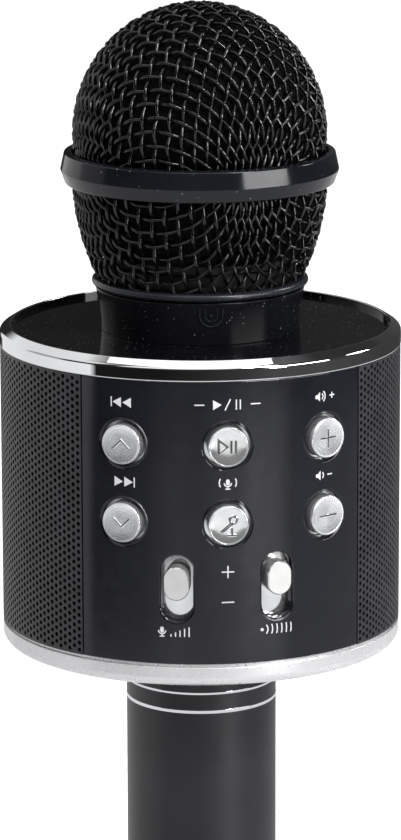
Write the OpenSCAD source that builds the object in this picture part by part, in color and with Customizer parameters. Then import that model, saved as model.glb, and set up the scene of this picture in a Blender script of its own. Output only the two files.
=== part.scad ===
// Handheld karaoke microphone with a speaker drum under its wire ball.
// The long axis is Z, the handle's foot stands on z = 0, and the key panel faces -Y.

/* [Handle] */
// Length of the handle below the drum
handle_len = 113.5; // [108:0.5:130]
// Outer radius of the handle tube
handle_r = 15.5; // [15.3:0.1:17]
// Wall of the handle tube
tube_wall = 1.2; // [1:0.1:1.4]
// Height of the end cap's rim
cap_h = 3; // [3:0.1:3.2]
// Distance of the lower silver ring below the drum
low_trim_drop = 12.6; // [12:0.1:14]
// Distance of the upper silver ring below the drum
high_trim_drop = 8.7; // [8:0.1:9]

/* [Drum] */
// Outer radius of the drum's chrome rings
drum_r = 41; // [41:0.1:43]
// Height of the grille and panel between the two rings
drum_h = 58; // [57:0.5:64]
// Height of the lower chrome ring
low_ring_h = 4; // [3.8:0.1:5]
// Height of the upper chrome ring
high_ring_h = 4.5; // [4.3:0.1:5.5]
// Depth of the gloss plate below the upper ring's lip
plate_drop = 1.5; // [1:0.1:1.8]
// Half angle of the key panel
panel_half = 42.5; // [42:0.5:45]

/* [Keys] */
// Radius of a round key
key_r = 4.05; // [3.8:0.05:4.1]
// How far a key stands out of the panel
key_proud = 1.1; // [0.8:0.1:1.6]
// Inward travel of a key
key_travel = 0.5; // [0.3:0.1:0.6]
// Angle between the key columns
key_pitch = 29.5; // [29:0.5:30]
// Distance of the top row of keys below the drum's top
key_drop = 12.9; // [12:0.1:14]
// Distance between the two rows of keys
row_gap = 15.8; // [15.5:0.1:16]

/* [Slide knobs] */
// Angle of a slot from the panel's middle
slot_angle = 14.2; // [14:0.1:15]
// Distance of the slots' middle below the drum's top
slot_drop = 41.8; // [41:0.1:43]
// Width of a slot
slot_w = 6.3; // [6:0.1:6.5]
// Length of a slot
slot_len = 13.5; // [13:0.1:14]
// Width of a knob
knob_w = 5.1; // [4.8:0.1:5.2]
// Length of a knob
knob_len = 6.9; // [6.5:0.1:7]
// Where the vocal volume knob rests, above its slot's middle
mic_knob_up = 1.3; // [-2.8:0.1:2.8]
// Where the effect knob rests, above its slot's middle
effect_knob_up = 1.8; // [-2.8:0.1:2.8]

/* [Neck and ball] */
// Radius of the neck at its foot
neck_r = 20.4; // [20.1:0.1:20.6]
// Radius of the neck under the ball
neck_top_r = 21.3; // [21:0.1:21.6]
// Height of the neck
neck_h = 9; // [8:0.1:12]
// Radius of the wire ball at its widest
ball_r = 25.9; // [25.5:0.1:26.2]
// Radius of the band's crease
band_r = 28.25; // [28:0.05:29]
// Height of the band
band_h = 6.1; // [5.8:0.1:6.4]
// Height of the lower wire cup that shows
cup_h = 19.4; // [19:0.1:20]
// Height of the dome's middle above the band
dome_rise = 3.8; // [3.4:0.1:4.2]
// Height of the dome above its middle
dome_b = 26.6; // [26:0.1:28]
// Thickness of the woven wire
weave_t = 1.4; // [1.2:0.1:1.5]

/* [Hidden] */

$fn = 96;
// How far a cutting shape runs past the face that it cuts
cut = 1;

// Heights of the joins, from the foot up
base_z = handle_len;
drum_z = base_z + low_ring_h;
roof_z = drum_z + drum_h;
plate_z = roof_z + high_ring_h - plate_drop;
collar_z = plate_z + neck_h;
collar_h = 1.6;
cup_z = collar_z + collar_h;
band_z = cup_z + cup_h;
dome_z = band_z + band_h + dome_rise;

// Sheet and shell thicknesses
deck_t = 2;
box_wall = 2;
plate_t = 1.5;
sheet_t = 0.7;
panel_t = 2;
base_t = 2.5;

// Radii inside the drum, from the skin inwards
skin_r = drum_r - 0.1;
grille_in_r = skin_r - sheet_t;
panel_in_r = skin_r - panel_t;
deck_r = panel_in_r - 0.2;
ring_in_r = drum_r - 4;
rim_step = 0.7;
lip_r = drum_r - 2.4;
high_shoulder_r = 1.6;
low_shoulder_r = 2.7;

// The box that holds the speakers, seen from above
box_x = 30;
box_front = 24;
box_r = deck_r + 0.4;
speaker_z = drum_z + drum_h / 2;
speaker_r = 20;
speaker_hole_r = 17.6;
flange_t = 1.6;

// Key stack, as distances from the drum's axis
carrier_r = 33.2;
carrier_t = 1.5;
flex_t = 0.2;
switch_r = carrier_r + carrier_t + flex_t;
switch_h = 2.1;
flange_r = panel_in_r - 0.45;
flange_w = 4.9;
hole_r = 4.6;
plunger_r = switch_r + 1.3;
plunger_room = 0.3;
skirt_out_r = flange_r - 0.1;
skirt_t = 1;
skirt_half_w = 3.8;
key_face_r = skin_r + key_proud;
knob_face_r = skin_r + 1.4;
key_rows = [roof_z - key_drop, roof_z - key_drop - row_gap];
slot_z = roof_z - slot_drop;
knob_travel = 3;
skirt_half_len = slot_len / 2 + knob_travel + 0.4;
pot_len = 17;

// Thread and bores of the neck and the handle's collar
spigot_r = 18.88;
spigot_h = 5.2;
neck_bore_r = 14;
neck_boss_r = 19;
boss_r = 12.9;
boss_bore_r = 9.5;
seat_gap = 0.3;
fit_gap = 0.05;
running_gap = 0.07;

// Inside of the handle
tube_in_r = handle_r - tube_wall;
core_r = 14;
board_z = 12.5;
board_t = 1.5;
tray_z = 16;
tray_len = 75;
cell_r = 9.2;
cell_len = 65;
cell_z = 20.5;
trim_proud = 0.05;
low_trim_z = base_z - low_trim_drop - 0.4;
high_trim_z = base_z - high_trim_drop - 0.3;
socket_at = [-6.2, 3.2];
power_at = [6.2, 3.2];
light_at = [0, 9.5];
usb_at = [0, -6.5];
screw_x = 11;
screw_y = -3;

// Lead routes: the board's plane, and the radius of each bend
pcb_y = 16;
lead_r = 1.2;
lead_bend = 6;
pcb_low_z = 134;
pcb_high_z = 160;
plug_h = 2;

// The lower wire cup follows an arc whose middle lies past the axis
cup_arc_r = 49.1;
cup_arc_x = -23;
cup_arc_z = band_z + 2.1;
wire_steps = 24;

// Outer radius of the wire cup at a height
function cup_radius(z) = cup_arc_x + sqrt(cup_arc_r * cup_arc_r - pow(z - cup_arc_z, 2));

// Points up the cup, moved in by inset
function cup_line(inset, z0, z1) =
    [for (i = [0:wire_steps]) let (z = z0 + (z1 - z0) * i / wire_steps) [cup_radius(z) - inset, z]];

// Points up the dome from height z0 to its top, moved in by inset
function dome_line(inset, z0) =
    let (b = dome_b - inset, t0 = asin((z0 - dome_z) / b))
    [for (i = [0:wire_steps]) let (t = t0 + (90 - t0) * i / wire_steps)
        [(ball_r - inset) * cos(t), dome_z + b * sin(t)]];

function backwards(points) = [for (i = [len(points) - 1:-1:0]) points[i]];

// A round sleeve about the long axis
module sleeve(r_in, r_out, z0, z1) {
    rotate_extrude() translate([r_in, z0]) square([r_out - r_in, z1 - z0]);
}

// Part of a sleeve, centred on the front
module front_sleeve(r_in, r_out, z0, z1, half) {
    rotate([0, 0, -90 - half])
        rotate_extrude(angle = 2 * half) translate([r_in, z0]) square([r_out - r_in, z1 - z0]);
}

// Children are drawn with Z pointing out of the panel, Y up, and the drum's axis as origin
module on_panel(angle, z) {
    rotate([0, 0, angle]) translate([0, 0, z]) rotate([90, 0, 0]) children();
}

// A round-ended bar, long side up
module obround(width, length, z0, z1) {
    for (s = [-1, 1])
        translate([0, s * (length - width) / 2, z0]) cylinder(d = width, h = z1 - z0);
    translate([-width / 2, -(length - width) / 2, z0]) cube([width, length - width, z1 - z0]);
}

// Children are drawn with Z pointing out of the box's side, from the baffle's face
module on_baffle(side) {
    translate([side * box_x, 0, speaker_z]) rotate([0, side * 90, 0]) children();
}

// Ball

module grille_dome() {
    foot = band_z + band_h / 2 + 0.6;
    color("#1c1c1e") rotate_extrude()
        polygon(concat(dome_line(0, foot), backwards(dome_line(weave_t, foot))));
}

module grille_cup() {
    top = band_z + band_h / 2 - 0.6;
    color("#1c1c1e") rotate_extrude()
        polygon(concat(cup_line(0, cup_z, top), backwards(cup_line(weave_t, cup_z, top))));
}

module grille_band() {
    mid = band_z + band_h / 2;
    crease = band_z + 0.44 * band_h;
    top = band_z + band_h;
    in_r = ball_r + 0.15;
    color("#232428") rotate_extrude() polygon([
        [in_r + 0.1, band_z - 0.2], [band_r - 0.95, band_z], [band_r, crease],
        [band_r - 0.85, top], [in_r, top + 0.3],
        [in_r, mid + 0.6], [in_r - 1.5, mid + 0.6], [in_r - 1.5, mid - 0.6], [in_r + 0.1, mid - 0.6]
    ]);
}

module grille_collar() {
    bead = collar_h / 2;
    bead_r = 22.05 - bead;
    bore_r = spigot_r + running_gap + 0.7 + fit_gap;
    color("#2a2b30") rotate_extrude() {
        translate([bead_r, collar_z + bead]) circle(r = bead);
        translate([bore_r, collar_z]) square([bead_r - bore_r, collar_h]);
    }
}

module thread_ring() {
    r_in = spigot_r + running_gap;
    color("#b89a5a") sleeve(r_in, r_in + 0.7, collar_z + 0.1, collar_z + 4.7);
}

module foam_liner() {
    out = weave_t + 0.3;
    foam_t = 3;
    low = cup_z + 5.5;
    join = band_z - 1;
    waist = dome_z - 8;
    color("#101012") rotate_extrude() polygon(concat(
        cup_line(out, low, join), dome_line(out, waist),
        backwards(dome_line(out + foam_t, waist)), backwards(cup_line(out + foam_t, low, join))
    ));
}

// Pickup and neck

module mic_capsule() {
    foot = collar_z + 6.5;
    can_r = 12.4;
    color("#8c8f94") rotate_extrude() polygon([
        [0, foot], [can_r, foot], [can_r, foot + 13], [can_r - 0.9, foot + 14],
        [can_r - 3, foot + 14.6], [can_r - 5, foot + 16], [0, foot + 16.6]
    ]);
}

module capsule_cradle() {
    seat = collar_z + 6.5;
    top = collar_z - seat_gap + spigot_h;
    color("#2b2b2b") {
        sleeve(10, neck_bore_r - fit_gap, collar_z - 1, top);
        sleeve(10, 18.2, top, seat);
        sleeve(12.4 + fit_gap, 14.8, seat, seat + 7);
    }
}

module neck() {
    top = collar_z - seat_gap;
    flare = [for (i = [0:8]) [neck_r + (neck_top_r - neck_r) * pow(i / 8, 1.6),
        plate_z + (top - plate_z) * i / 8]];
    spigot_top = top + spigot_h;
    color("#1b1b1e") rotate_extrude() polygon(concat(flare, [
        [spigot_r, top], [spigot_r, spigot_top], [neck_bore_r, spigot_top],
        [neck_bore_r, roof_z - 5.2], [neck_boss_r, roof_z - 5.2], [neck_boss_r, plate_z]
    ]));
    color("#1b1b1e") neck_mark();
}

// Rounded tongue moulded on the front of the neck
module neck_mark() {
    top = collar_z - seat_gap - 0.4;
    tongue_w = 4.7;
    tongue_h = 5;
    intersection() {
        on_panel(-1.5, top - tongue_h / 2 + tongue_w / 4) difference() {
            obround(tongue_w, tongue_h + tongue_w / 2, neck_bore_r + 3, neck_top_r + 0.25);
            translate([0, 0.4, 0]) obround(2.6, 5.2, neck_r + 0.4, neck_top_r + 2);
        }
        sleeve(neck_bore_r + 2, neck_top_r + 0.5, plate_z + 1, top);
    }
}

module neck_nut() {
    color("#c0c2c6") sleeve(neck_boss_r + fit_gap, neck_boss_r + 2.8, roof_z - deck_t - 3, roof_z - deck_t);
}

module capsule_lead() {
    start = collar_z + 6.5;
    turn = pcb_high_z + plug_h + 2 * lead_bend;
    color("#6b1f1f") {
        translate([0, 0, turn]) cylinder(r = lead_r, h = start - turn);
        lead_crank(turn, -1);
    }
}

module battery_lead() {
    start = tray_z + tray_len;
    turn = pcb_low_z - plug_h - 2 * lead_bend;
    color("#8a1f1f") {
        translate([0, 0, start]) cylinder(r = lead_r, h = turn - start);
        lead_crank(turn, 1);
    }
}

// Two quarter bends that carry a lead from the axis to the board; dir is 1 upwards, -1 downwards
module lead_crank(turn, dir) {
    far = pcb_y - lead_bend;
    for (bend = [[lead_bend, turn, dir > 0 ? 90 : 180], [far, turn + dir * 2 * lead_bend, dir > 0 ? 270 : 0]])
        translate([0, bend[0], bend[1]]) rotate([90, 0, 90]) rotate([0, 0, bend[2]])
            rotate_extrude(angle = 90) translate([lead_bend, 0]) circle(r = lead_r);
    translate([0, lead_bend, turn + dir * lead_bend]) rotate([-90, 0, 0])
        cylinder(r = lead_r, h = far - lead_bend);
}

// Drum

module top_plate() {
    color("#141416") sleeve(neck_boss_r + fit_gap, lip_r - 0.1, plate_z - plate_t, plate_z);
}

module top_ring() {
    top = roof_z + high_ring_h;
    seat = plate_z - plate_t;
    edge = drum_r - high_shoulder_r;
    turn = top - high_shoulder_r;
    chamfer = 0.25;
    color("#d5d7da") rotate_extrude() {
        polygon([
            [ring_in_r, roof_z], [drum_r - chamfer, roof_z], [drum_r, roof_z + chamfer],
            [drum_r, turn], [edge, turn], [edge, top], [lip_r, top - 0.3], [lip_r, seat],
            [ring_in_r, seat]
        ]);
        intersection() {
            translate([edge, turn]) circle(r = high_shoulder_r);
            translate([edge, turn]) square(high_shoulder_r);
        }
    }
}

module bottom_ring() {
    edge = skin_r - low_shoulder_r;
    low = base_z + low_shoulder_r;
    color("#d5d7da") rotate_extrude() {
        translate([ring_in_r, low]) square([skin_r - ring_in_r, drum_z - low]);
        translate([ring_in_r, base_z]) square([edge - ring_in_r, low_shoulder_r]);
        translate([panel_in_r + 0.3, drum_z]) square([1.2, rim_step]);
        intersection() {
            translate([edge, low]) circle(r = low_shoulder_r);
            translate([edge, base_z]) square(low_shoulder_r);
        }
    }
}

// Outline of the box's walls, with its flat front and sides
module box_outline(inset) {
    intersection() {
        circle(r = box_r - inset);
        translate([inset - box_x, inset - box_front])
            square([2 * (box_x - inset), box_front + box_r]);
    }
}

module speaker_box() {
    color("#26262a") difference() {
        union() {
            sleeve(boss_r + fit_gap, deck_r, drum_z, drum_z + deck_t);
            sleeve(neck_boss_r + fit_gap, deck_r, roof_z - deck_t, roof_z);
            translate([0, 0, drum_z + deck_t]) linear_extrude(height = drum_h - 2 * deck_t)
                difference() {
                    box_outline(0);
                    box_outline(box_wall);
                }
        }
        for (side = [-1, 1]) on_baffle(side) translate([0, 0, -box_wall - cut]) {
            cylinder(r = speaker_hole_r, h = box_wall + 2 * cut);
            speaker_screw_places() cylinder(r = 0.8, h = box_wall + 2 * cut);
        }
        base_screw_places() translate([0, 0, drum_z - cut]) cylinder(r = 1.3, h = cut + deck_t - 0.3);
    }
}

module speaker_grille() {
    gap_half = panel_half + 0.4;
    color("#2e2f33") rotate([0, 0, gap_half - 90])
        rotate_extrude(angle = 360 - 2 * gap_half)
            translate([grille_in_r, drum_z + rim_step]) square([sheet_t, drum_h - rim_step]);
}

module front_panel() {
    color("#17171b") difference() {
        front_sleeve(panel_in_r, skin_r, drum_z + rim_step, roof_z, panel_half);
        for (angle = [-key_pitch, 0, key_pitch]) for (z = key_rows) on_panel(angle, z) {
            translate([0, 0, panel_in_r - 2]) cylinder(r = hole_r, h = panel_t + 4);
            translate([0, 0, skin_r - 0.4]) cylinder(r1 = hole_r - 0.1, r2 = hole_r + 0.6, h = 0.7);
        }
        for (angle = [-slot_angle, slot_angle]) on_panel(angle, slot_z)
            obround(slot_w, slot_len, panel_in_r - 2, skin_r + 2);
    }
}

module base_screw_places() {
    for (a = [45:90:315]) rotate([0, 0, a]) translate([32, 0, 0]) children();
}

module base_plate() {
    z0 = drum_z - base_t;
    color("#1d1d20") difference() {
        sleeve(boss_r + fit_gap, ring_in_r - fit_gap, z0, drum_z);
        base_screw_places() {
            translate([0, 0, z0 - cut]) cylinder(r = 1.4, h = base_t + 2 * cut);
            translate([0, 0, z0 - cut]) cylinder(r = 2.8, h = cut + 1.2);
        }
    }
}

module base_screws() {
    z0 = drum_z - base_t;
    color("#9a9ca0") base_screw_places() difference() {
        union() {
            translate([0, 0, z0 + 0.2]) cylinder(r = 2.6, h = 1);
            translate([0, 0, z0 + 1.2]) cylinder(r = 1.25, h = base_t + deck_t - 1.7);
        }
        cross_slot(z0 + 0.2, 2.6, 0.6, 0.6);
    }
}

// Cross cut in a screw's underside
module cross_slot(z, length, width, depth) {
    for (turn = [0, 90]) rotate([0, 0, turn])
        translate([-length / 2, -width / 2, z - cut]) cube([length, width, depth + cut]);
}

// Speakers

module speaker_screw_places() {
    for (a = [45:90:315]) rotate([0, 0, a]) translate([speaker_r - 1.1, 0, 0]) children();
}

module speaker_frame(side) {
    color("#3a3b3f") on_baffle(side) difference() {
        rotate_extrude() polygon([
            [speaker_hole_r - 0.1, 0], [speaker_r, 0], [speaker_r, flange_t], [speaker_hole_r - 0.2, flange_t],
            [speaker_hole_r - 0.2, -1.5], [12, -10], [8, -11], [8, -12], [12.4, -12],
            [speaker_hole_r - 0.1, -2]
        ]);
        speaker_screw_places() translate([0, 0, -cut]) cylinder(r = 0.85, h = flange_t + 2 * cut);
    }
}

module speaker_magnet(side) {
    color("#55575c") on_baffle(side) rotate_extrude() polygon([
        [0, -18], [11, -18], [11, -12], [7.4, -12], [7.4, -16.5], [6, -16.5], [6, -11.5], [0, -11.5]
    ]);
}

module speaker_cone(side) {
    color("#1b1b1c") on_baffle(side) {
        rotate_extrude() polygon([
            [6.45, -15], [6.95, -15], [6.95, -8.2], [14.3, -1.8], [15, -0.6], [16, -0.1],
            [16.7, -0.6], [17.1, -0.7], [17.1, -0.2], [16.7, 0], [16, 0.5], [15, 0.1],
            [14, -1.3], [6.45, -7.7]
        ]);
        rotate_extrude() polygon([[0, -5.4], [3, -5.8], [5.4, -6.9], [6.6, -8], [6.6, -7.5], [5.4, -6.4],
            [3, -5.3], [0, -4.9]]);
    }
}

module speaker_screws() {
    color("#9a9ca0") for (side = [-1, 1]) on_baffle(side) speaker_screw_places() {
        translate([0, 0, -box_wall - 1]) cylinder(r = 0.75, h = box_wall + 1 + flange_t);
        translate([0, 0, flange_t]) cylinder(r = 1.05, h = 0.6);
    }
}

// Panel controls

module switch_carrier() {
    color("#2f3034") front_sleeve(carrier_r, carrier_r + carrier_t, drum_z + deck_t, roof_z - deck_t, 39);
}

module flex_circuit() {
    color("#9c6b1e") front_sleeve(carrier_r + carrier_t, switch_r, slot_z - 10, roof_z - 6, 36);
}

module key_switches() {
    side = 6;
    color("#3b3c3e") for (angle = [-key_pitch, 0, key_pitch]) for (z = key_rows) on_panel(angle, z)
        difference() {
            translate([-side / 2, -side / 2, switch_r]) cube([side, side, switch_h]);
            translate([0, 0, plunger_r - key_travel - plunger_room]) cylinder(r = 1.75, h = switch_h);
        }
}

module slide_controls() {
    pot_w = 5;
    pot_h = 1.7;
    lever_w = 1.8;
    lever_len = 2 * knob_travel + 2.6;
    color("#3b3c3e") for (angle = [-slot_angle, slot_angle]) on_panel(angle, slot_z) difference() {
        translate([-pot_w / 2, -pot_len / 2, switch_r]) cube([pot_w, pot_len, pot_h]);
        translate([-lever_w / 2, -lever_len / 2, switch_r + 0.4]) cube([lever_w, lever_len, pot_h]);
    }
}

module key(angle, z) {
    bevel = 0.35;
    color("#c9ccd0") on_panel(angle, z) {
        translate([0, 0, plunger_r]) cylinder(r = 1.5, h = flange_r - 0.5 - plunger_r);
        translate([0, 0, flange_r - 0.5]) cylinder(r = flange_w, h = 0.5);
        translate([0, 0, flange_r]) cylinder(r = key_r, h = key_face_r - flange_r - bevel);
        translate([0, 0, key_face_r - bevel]) cylinder(r1 = key_r, r2 = key_r - bevel, h = bevel);
    }
}

module previous_key() { key(-key_pitch, key_rows[0]); }
module next_key() { key(-key_pitch, key_rows[1]); }
module play_key() { key(0, key_rows[0]); }
module mic_key() { key(0, key_rows[1]); }
module volume_up_key() { key(key_pitch, key_rows[0]); }
module volume_down_key() { key(key_pitch, key_rows[1]); }

module slide_knob(angle, up) {
    z = slot_z + up;
    skirt_half = asin(skirt_half_w / skirt_out_r);
    color("#c9ccd0") {
        rotate([0, 0, angle]) front_sleeve(skirt_out_r - skirt_t, skirt_out_r,
            z - skirt_half_len, z + skirt_half_len, skirt_half);
        on_panel(angle, z) {
            obround(knob_w, knob_len, skirt_out_r - 0.4, knob_face_r);
            translate([-0.6, -1, switch_r + 0.7]) cube([1.2, 2, skirt_out_r - switch_r - 1.2]);
        }
    }
}

module mic_volume_knob() { slide_knob(-slot_angle, mic_knob_up); }
module effect_knob() { slide_knob(slot_angle, effect_knob_up); }

module main_board() {
    width = 34;
    thick = 1.6;
    color("#1e5a35") {
        translate([-width / 2, pcb_y + lead_r + 0.6, pcb_low_z]) cube([width, thick, pcb_high_z - pcb_low_z]);
        for (z = [pcb_low_z - plug_h, pcb_high_z - 6])
            translate([-3.5, pcb_y - 2.4, z]) cube([7, 4.2, plug_h + 6]);
        for (x = [-13, 6]) translate([x, pcb_y + lead_r + 0.6 - 1.4, pcb_low_z + 8]) cube([8, 1.4, 8]);
        for (x = [-11, 11]) translate([x, pcb_y + lead_r + 0.6 + thick, pcb_high_z - 8])
            rotate([-90, 0, 0]) cylinder(r = 3, h = 7);
    }
}

// Handle

module handle_collar() {
    plug_z = high_trim_z - 11;
    color("#202024") rotate_extrude() polygon([
        [boss_bore_r, plug_z], [tube_in_r - fit_gap, plug_z], [tube_in_r - fit_gap, high_trim_z + 0.6],
        [handle_r, high_trim_z + 0.6], [handle_r, drum_z - base_t], [boss_r, drum_z - base_t],
        [boss_r, drum_z + deck_t + 4], [boss_bore_r, drum_z + deck_t + 4]
    ]);
}

module handle_nut() {
    color("#c0c2c6") sleeve(boss_r + fit_gap, boss_r + 4.6, drum_z + deck_t, drum_z + deck_t + 3);
}

module upper_trim_ring() {
    color("#d5d7da") sleeve(tube_in_r, handle_r + trim_proud, high_trim_z, high_trim_z + 0.6);
}

module lower_trim_ring() {
    color("#d5d7da") sleeve(handle_r - 0.5, handle_r + trim_proud, low_trim_z, low_trim_z + 0.8);
}

module handle_tube() {
    color("#26272a") rotate_extrude() polygon([
        [tube_in_r, cap_h], [handle_r, cap_h], [handle_r, low_trim_z], [handle_r - 0.5, low_trim_z],
        [handle_r - 0.5, low_trim_z + 0.8], [handle_r, low_trim_z + 0.8], [handle_r, high_trim_z],
        [tube_in_r, high_trim_z]
    ]);
}

module battery_tray() {
    top = tray_z + tray_len;
    color("#303136") difference() {
        union() {
            front_sleeve(core_r - 1.5, core_r - 0.2, tray_z + 1, top - 1, 100);
            translate([0, 0, tray_z]) cylinder(r = core_r, h = 2);
            translate([0, 0, top - 2]) cylinder(r = core_r, h = 2);
        }
        end_screw_places() translate([0, 0, tray_z - cut]) cylinder(r = 1.05, h = 2 + 2 * cut);
    }
}

module battery_cell() {
    color("#3d7fb8") {
        translate([0, 0, cell_z]) cylinder(r = cell_r, h = cell_len - 1);
        translate([0, 0, cell_z + cell_len - 1]) cylinder(r = 3.6, h = 1);
    }
}

module battery_contacts() {
    color("#c8a95a") {
        translate([0, 0, tray_z + 2]) cylinder(r1 = 5, r2 = 3, h = cell_z - tray_z - 2);
        translate([0, 0, cell_z + cell_len]) cylinder(r1 = 2.6, r2 = 4.4, h = tray_z + tray_len - 2 - cell_z - cell_len);
    }
}

module end_screw_places() {
    for (x = [-screw_x, screw_x]) translate([x, screw_y, 0]) children();
}

module charge_board() {
    color("#1e5a35") difference() {
        union() {
            translate([0, 0, board_z]) cylinder(r = core_r - 0.3, h = board_t);
            translate([-4, -3, board_z + board_t]) cube([6, 5, 1]);
        }
        end_screw_places() translate([0, 0, board_z - cut]) cylinder(r = 1.3, h = board_t + 3 * cut);
    }
}

module usb_socket() {
    w = 7.6;
    d = 2.8;
    wall = 0.3;
    color("#c4c6ca") translate([usb_at[0], usb_at[1], 0]) difference() {
        translate([-w / 2, -d / 2, 0.6]) cube([w, d, board_z - 0.6]);
        translate([-w / 2 + wall, -d / 2 + wall, 0]) cube([w - 2 * wall, d - 2 * wall, 5.6]);
    }
    color("#222222") translate([usb_at[0] - 2.6, usb_at[1] - 0.35, 1.6]) cube([5.2, 0.7, 4.2]);
}

module headphone_socket() {
    color("#2a2a2c") translate([socket_at[0], socket_at[1], 0.3]) difference() {
        cylinder(r = 3, h = board_z - 0.3);
        translate([0, 0, -cut]) cylinder(r = 1.8, h = 11.2 + cut);
    }
}

module power_switch() {
    side = 6;
    color("#3b3c3e") translate([power_at[0], power_at[1], 9]) difference() {
        translate([-side / 2, -side / 2, 0]) cube([side, side, board_z - 9]);
        translate([0, 0, -cut]) cylinder(r = 1.7, h = 1.8 + cut);
    }
}

module power_key() {
    color("#c9ccd0") translate([power_at[0], power_at[1], 0]) {
        translate([0, 0, 0.5]) cylinder(r = 3, h = 2.8);
        translate([0, 0, 3.3]) cylinder(r = 3.8, h = 0.6);
        translate([0, 0, 3.9]) cylinder(r = 1.4, h = 5.9);
    }
}

module status_light() {
    color("#9fc7e8") translate([light_at[0], light_at[1], 0.3]) cylinder(r = 1, h = board_z - 0.3);
}

module end_cap() {
    edge = 0.8;
    color("#1d1d20") difference() {
        rotate_extrude() {
            polygon([
                [0, 0], [handle_r - edge, 0], [handle_r, edge], [handle_r, cap_h], [0, cap_h]
            ]);
            translate([tube_in_r - fit_gap - 1.5, cap_h]) square([1.5, 5]);
        }
        translate([socket_at[0], socket_at[1], -cut]) cylinder(r = 3.05, h = cap_h + 2 * cut);
        translate([power_at[0], power_at[1], -cut]) cylinder(r = 3.3, h = cap_h + 2 * cut);
        translate([light_at[0], light_at[1], -cut]) cylinder(r = 1.05, h = cap_h + 2 * cut);
        translate([usb_at[0] - 4, usb_at[1] - 1.6, -cut]) cube([8, 3.2, cap_h + 2 * cut]);
        end_screw_places() {
            translate([0, 0, -cut]) cylinder(r = 1.1, h = cap_h + 2 * cut);
            translate([0, 0, -cut]) cylinder(r = 2.1, h = cut + 1.6);
        }
    }
}

module end_cap_screws() {
    color("#9a9ca0") end_screw_places() difference() {
        union() {
            translate([0, 0, 0.3]) cylinder(r = 2, h = 1.3);
            translate([0, 0, 1.6]) cylinder(r = 1, h = tray_z + 1.8 - 1.6);
        }
        cross_slot(0.3, 2.4, 0.5, 0.7);
    }
}

grille_dome();
grille_cup();
grille_band();
grille_collar();
thread_ring();
foam_liner();
mic_capsule();
capsule_cradle();
capsule_lead();
neck();
neck_nut();
top_plate();
top_ring();
speaker_box();
speaker_grille();
front_panel();
bottom_ring();
base_plate();
base_screws();
speaker_frame(-1);  // left_speaker_frame
speaker_magnet(-1);  // left_speaker_magnet
speaker_cone(-1);  // left_speaker_cone
speaker_frame(1);  // right_speaker_frame
speaker_magnet(1);  // right_speaker_magnet
speaker_cone(1);  // right_speaker_cone
speaker_screws();
switch_carrier();
flex_circuit();
key_switches();
slide_controls();
main_board();
previous_key();
next_key();
play_key();
mic_key();
volume_up_key();
volume_down_key();
mic_volume_knob();
effect_knob();
handle_collar();
handle_nut();
upper_trim_ring();
lower_trim_ring();
handle_tube();
battery_tray();
battery_cell();
battery_contacts();
battery_lead();
charge_board();
usb_socket();
headphone_socket();
power_switch();
power_key();
status_light();
end_cap();
end_cap_screws();
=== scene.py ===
"""Handheld karaoke microphone: a woven wire ball on a speaker drum with a key panel, on a handle.

Lengths are millimetres in the row frame until a mesh is made, and metres from then on.
Angles about the long axis are degrees from the front (-Y) towards +X.
"""

from __future__ import annotations

import logging
import math
from dataclasses import dataclass, field
from enum import Enum
from typing import Callable, Iterable, Sequence

import bmesh
import bpy
import numpy as np
from mathutils import Matrix, Vector
from mathutils.geometry import delaunay_2d_cdt

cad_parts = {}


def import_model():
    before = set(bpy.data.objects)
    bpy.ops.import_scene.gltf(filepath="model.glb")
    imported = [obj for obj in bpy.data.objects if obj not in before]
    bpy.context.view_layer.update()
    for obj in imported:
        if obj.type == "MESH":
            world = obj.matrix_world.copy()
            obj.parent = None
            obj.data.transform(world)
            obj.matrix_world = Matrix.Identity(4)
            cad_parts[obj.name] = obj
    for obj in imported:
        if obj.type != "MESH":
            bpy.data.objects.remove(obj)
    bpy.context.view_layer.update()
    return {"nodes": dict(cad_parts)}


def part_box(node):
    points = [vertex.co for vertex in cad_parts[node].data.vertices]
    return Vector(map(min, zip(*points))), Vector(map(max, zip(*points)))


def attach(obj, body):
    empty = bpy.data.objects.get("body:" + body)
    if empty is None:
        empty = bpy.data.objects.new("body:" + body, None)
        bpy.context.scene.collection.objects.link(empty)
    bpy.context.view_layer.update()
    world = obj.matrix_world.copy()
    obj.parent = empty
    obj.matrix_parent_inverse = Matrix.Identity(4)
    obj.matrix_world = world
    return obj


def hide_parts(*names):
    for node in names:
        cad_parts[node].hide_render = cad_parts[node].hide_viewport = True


LOG = logging.getLogger("microphone")
MM = 0.001
JOIN_REACH = 2e-6
Colour = tuple[float, float, float]
Pair = tuple[float, float]
Loop = list[Pair]
Outline = tuple[np.ndarray, np.ndarray]
Lay = Callable[[np.ndarray], np.ndarray]
Socket = bpy.types.NodeSocket


# Finishes

COAT_ROUGHNESS = 0.04
PATCH_EDGES: Pair = (0.35, 0.65)
FINE_RANGE: Pair = (0.3, 0.7)
SPECK_SIZE = 0.35
SPECK_RARE = 0.86
SPECK_SPREAD = 0.2
SPECK_SOFT = 0.03
SPECK_GREY = (0.3, 0.3, 0.3, 1)


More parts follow.
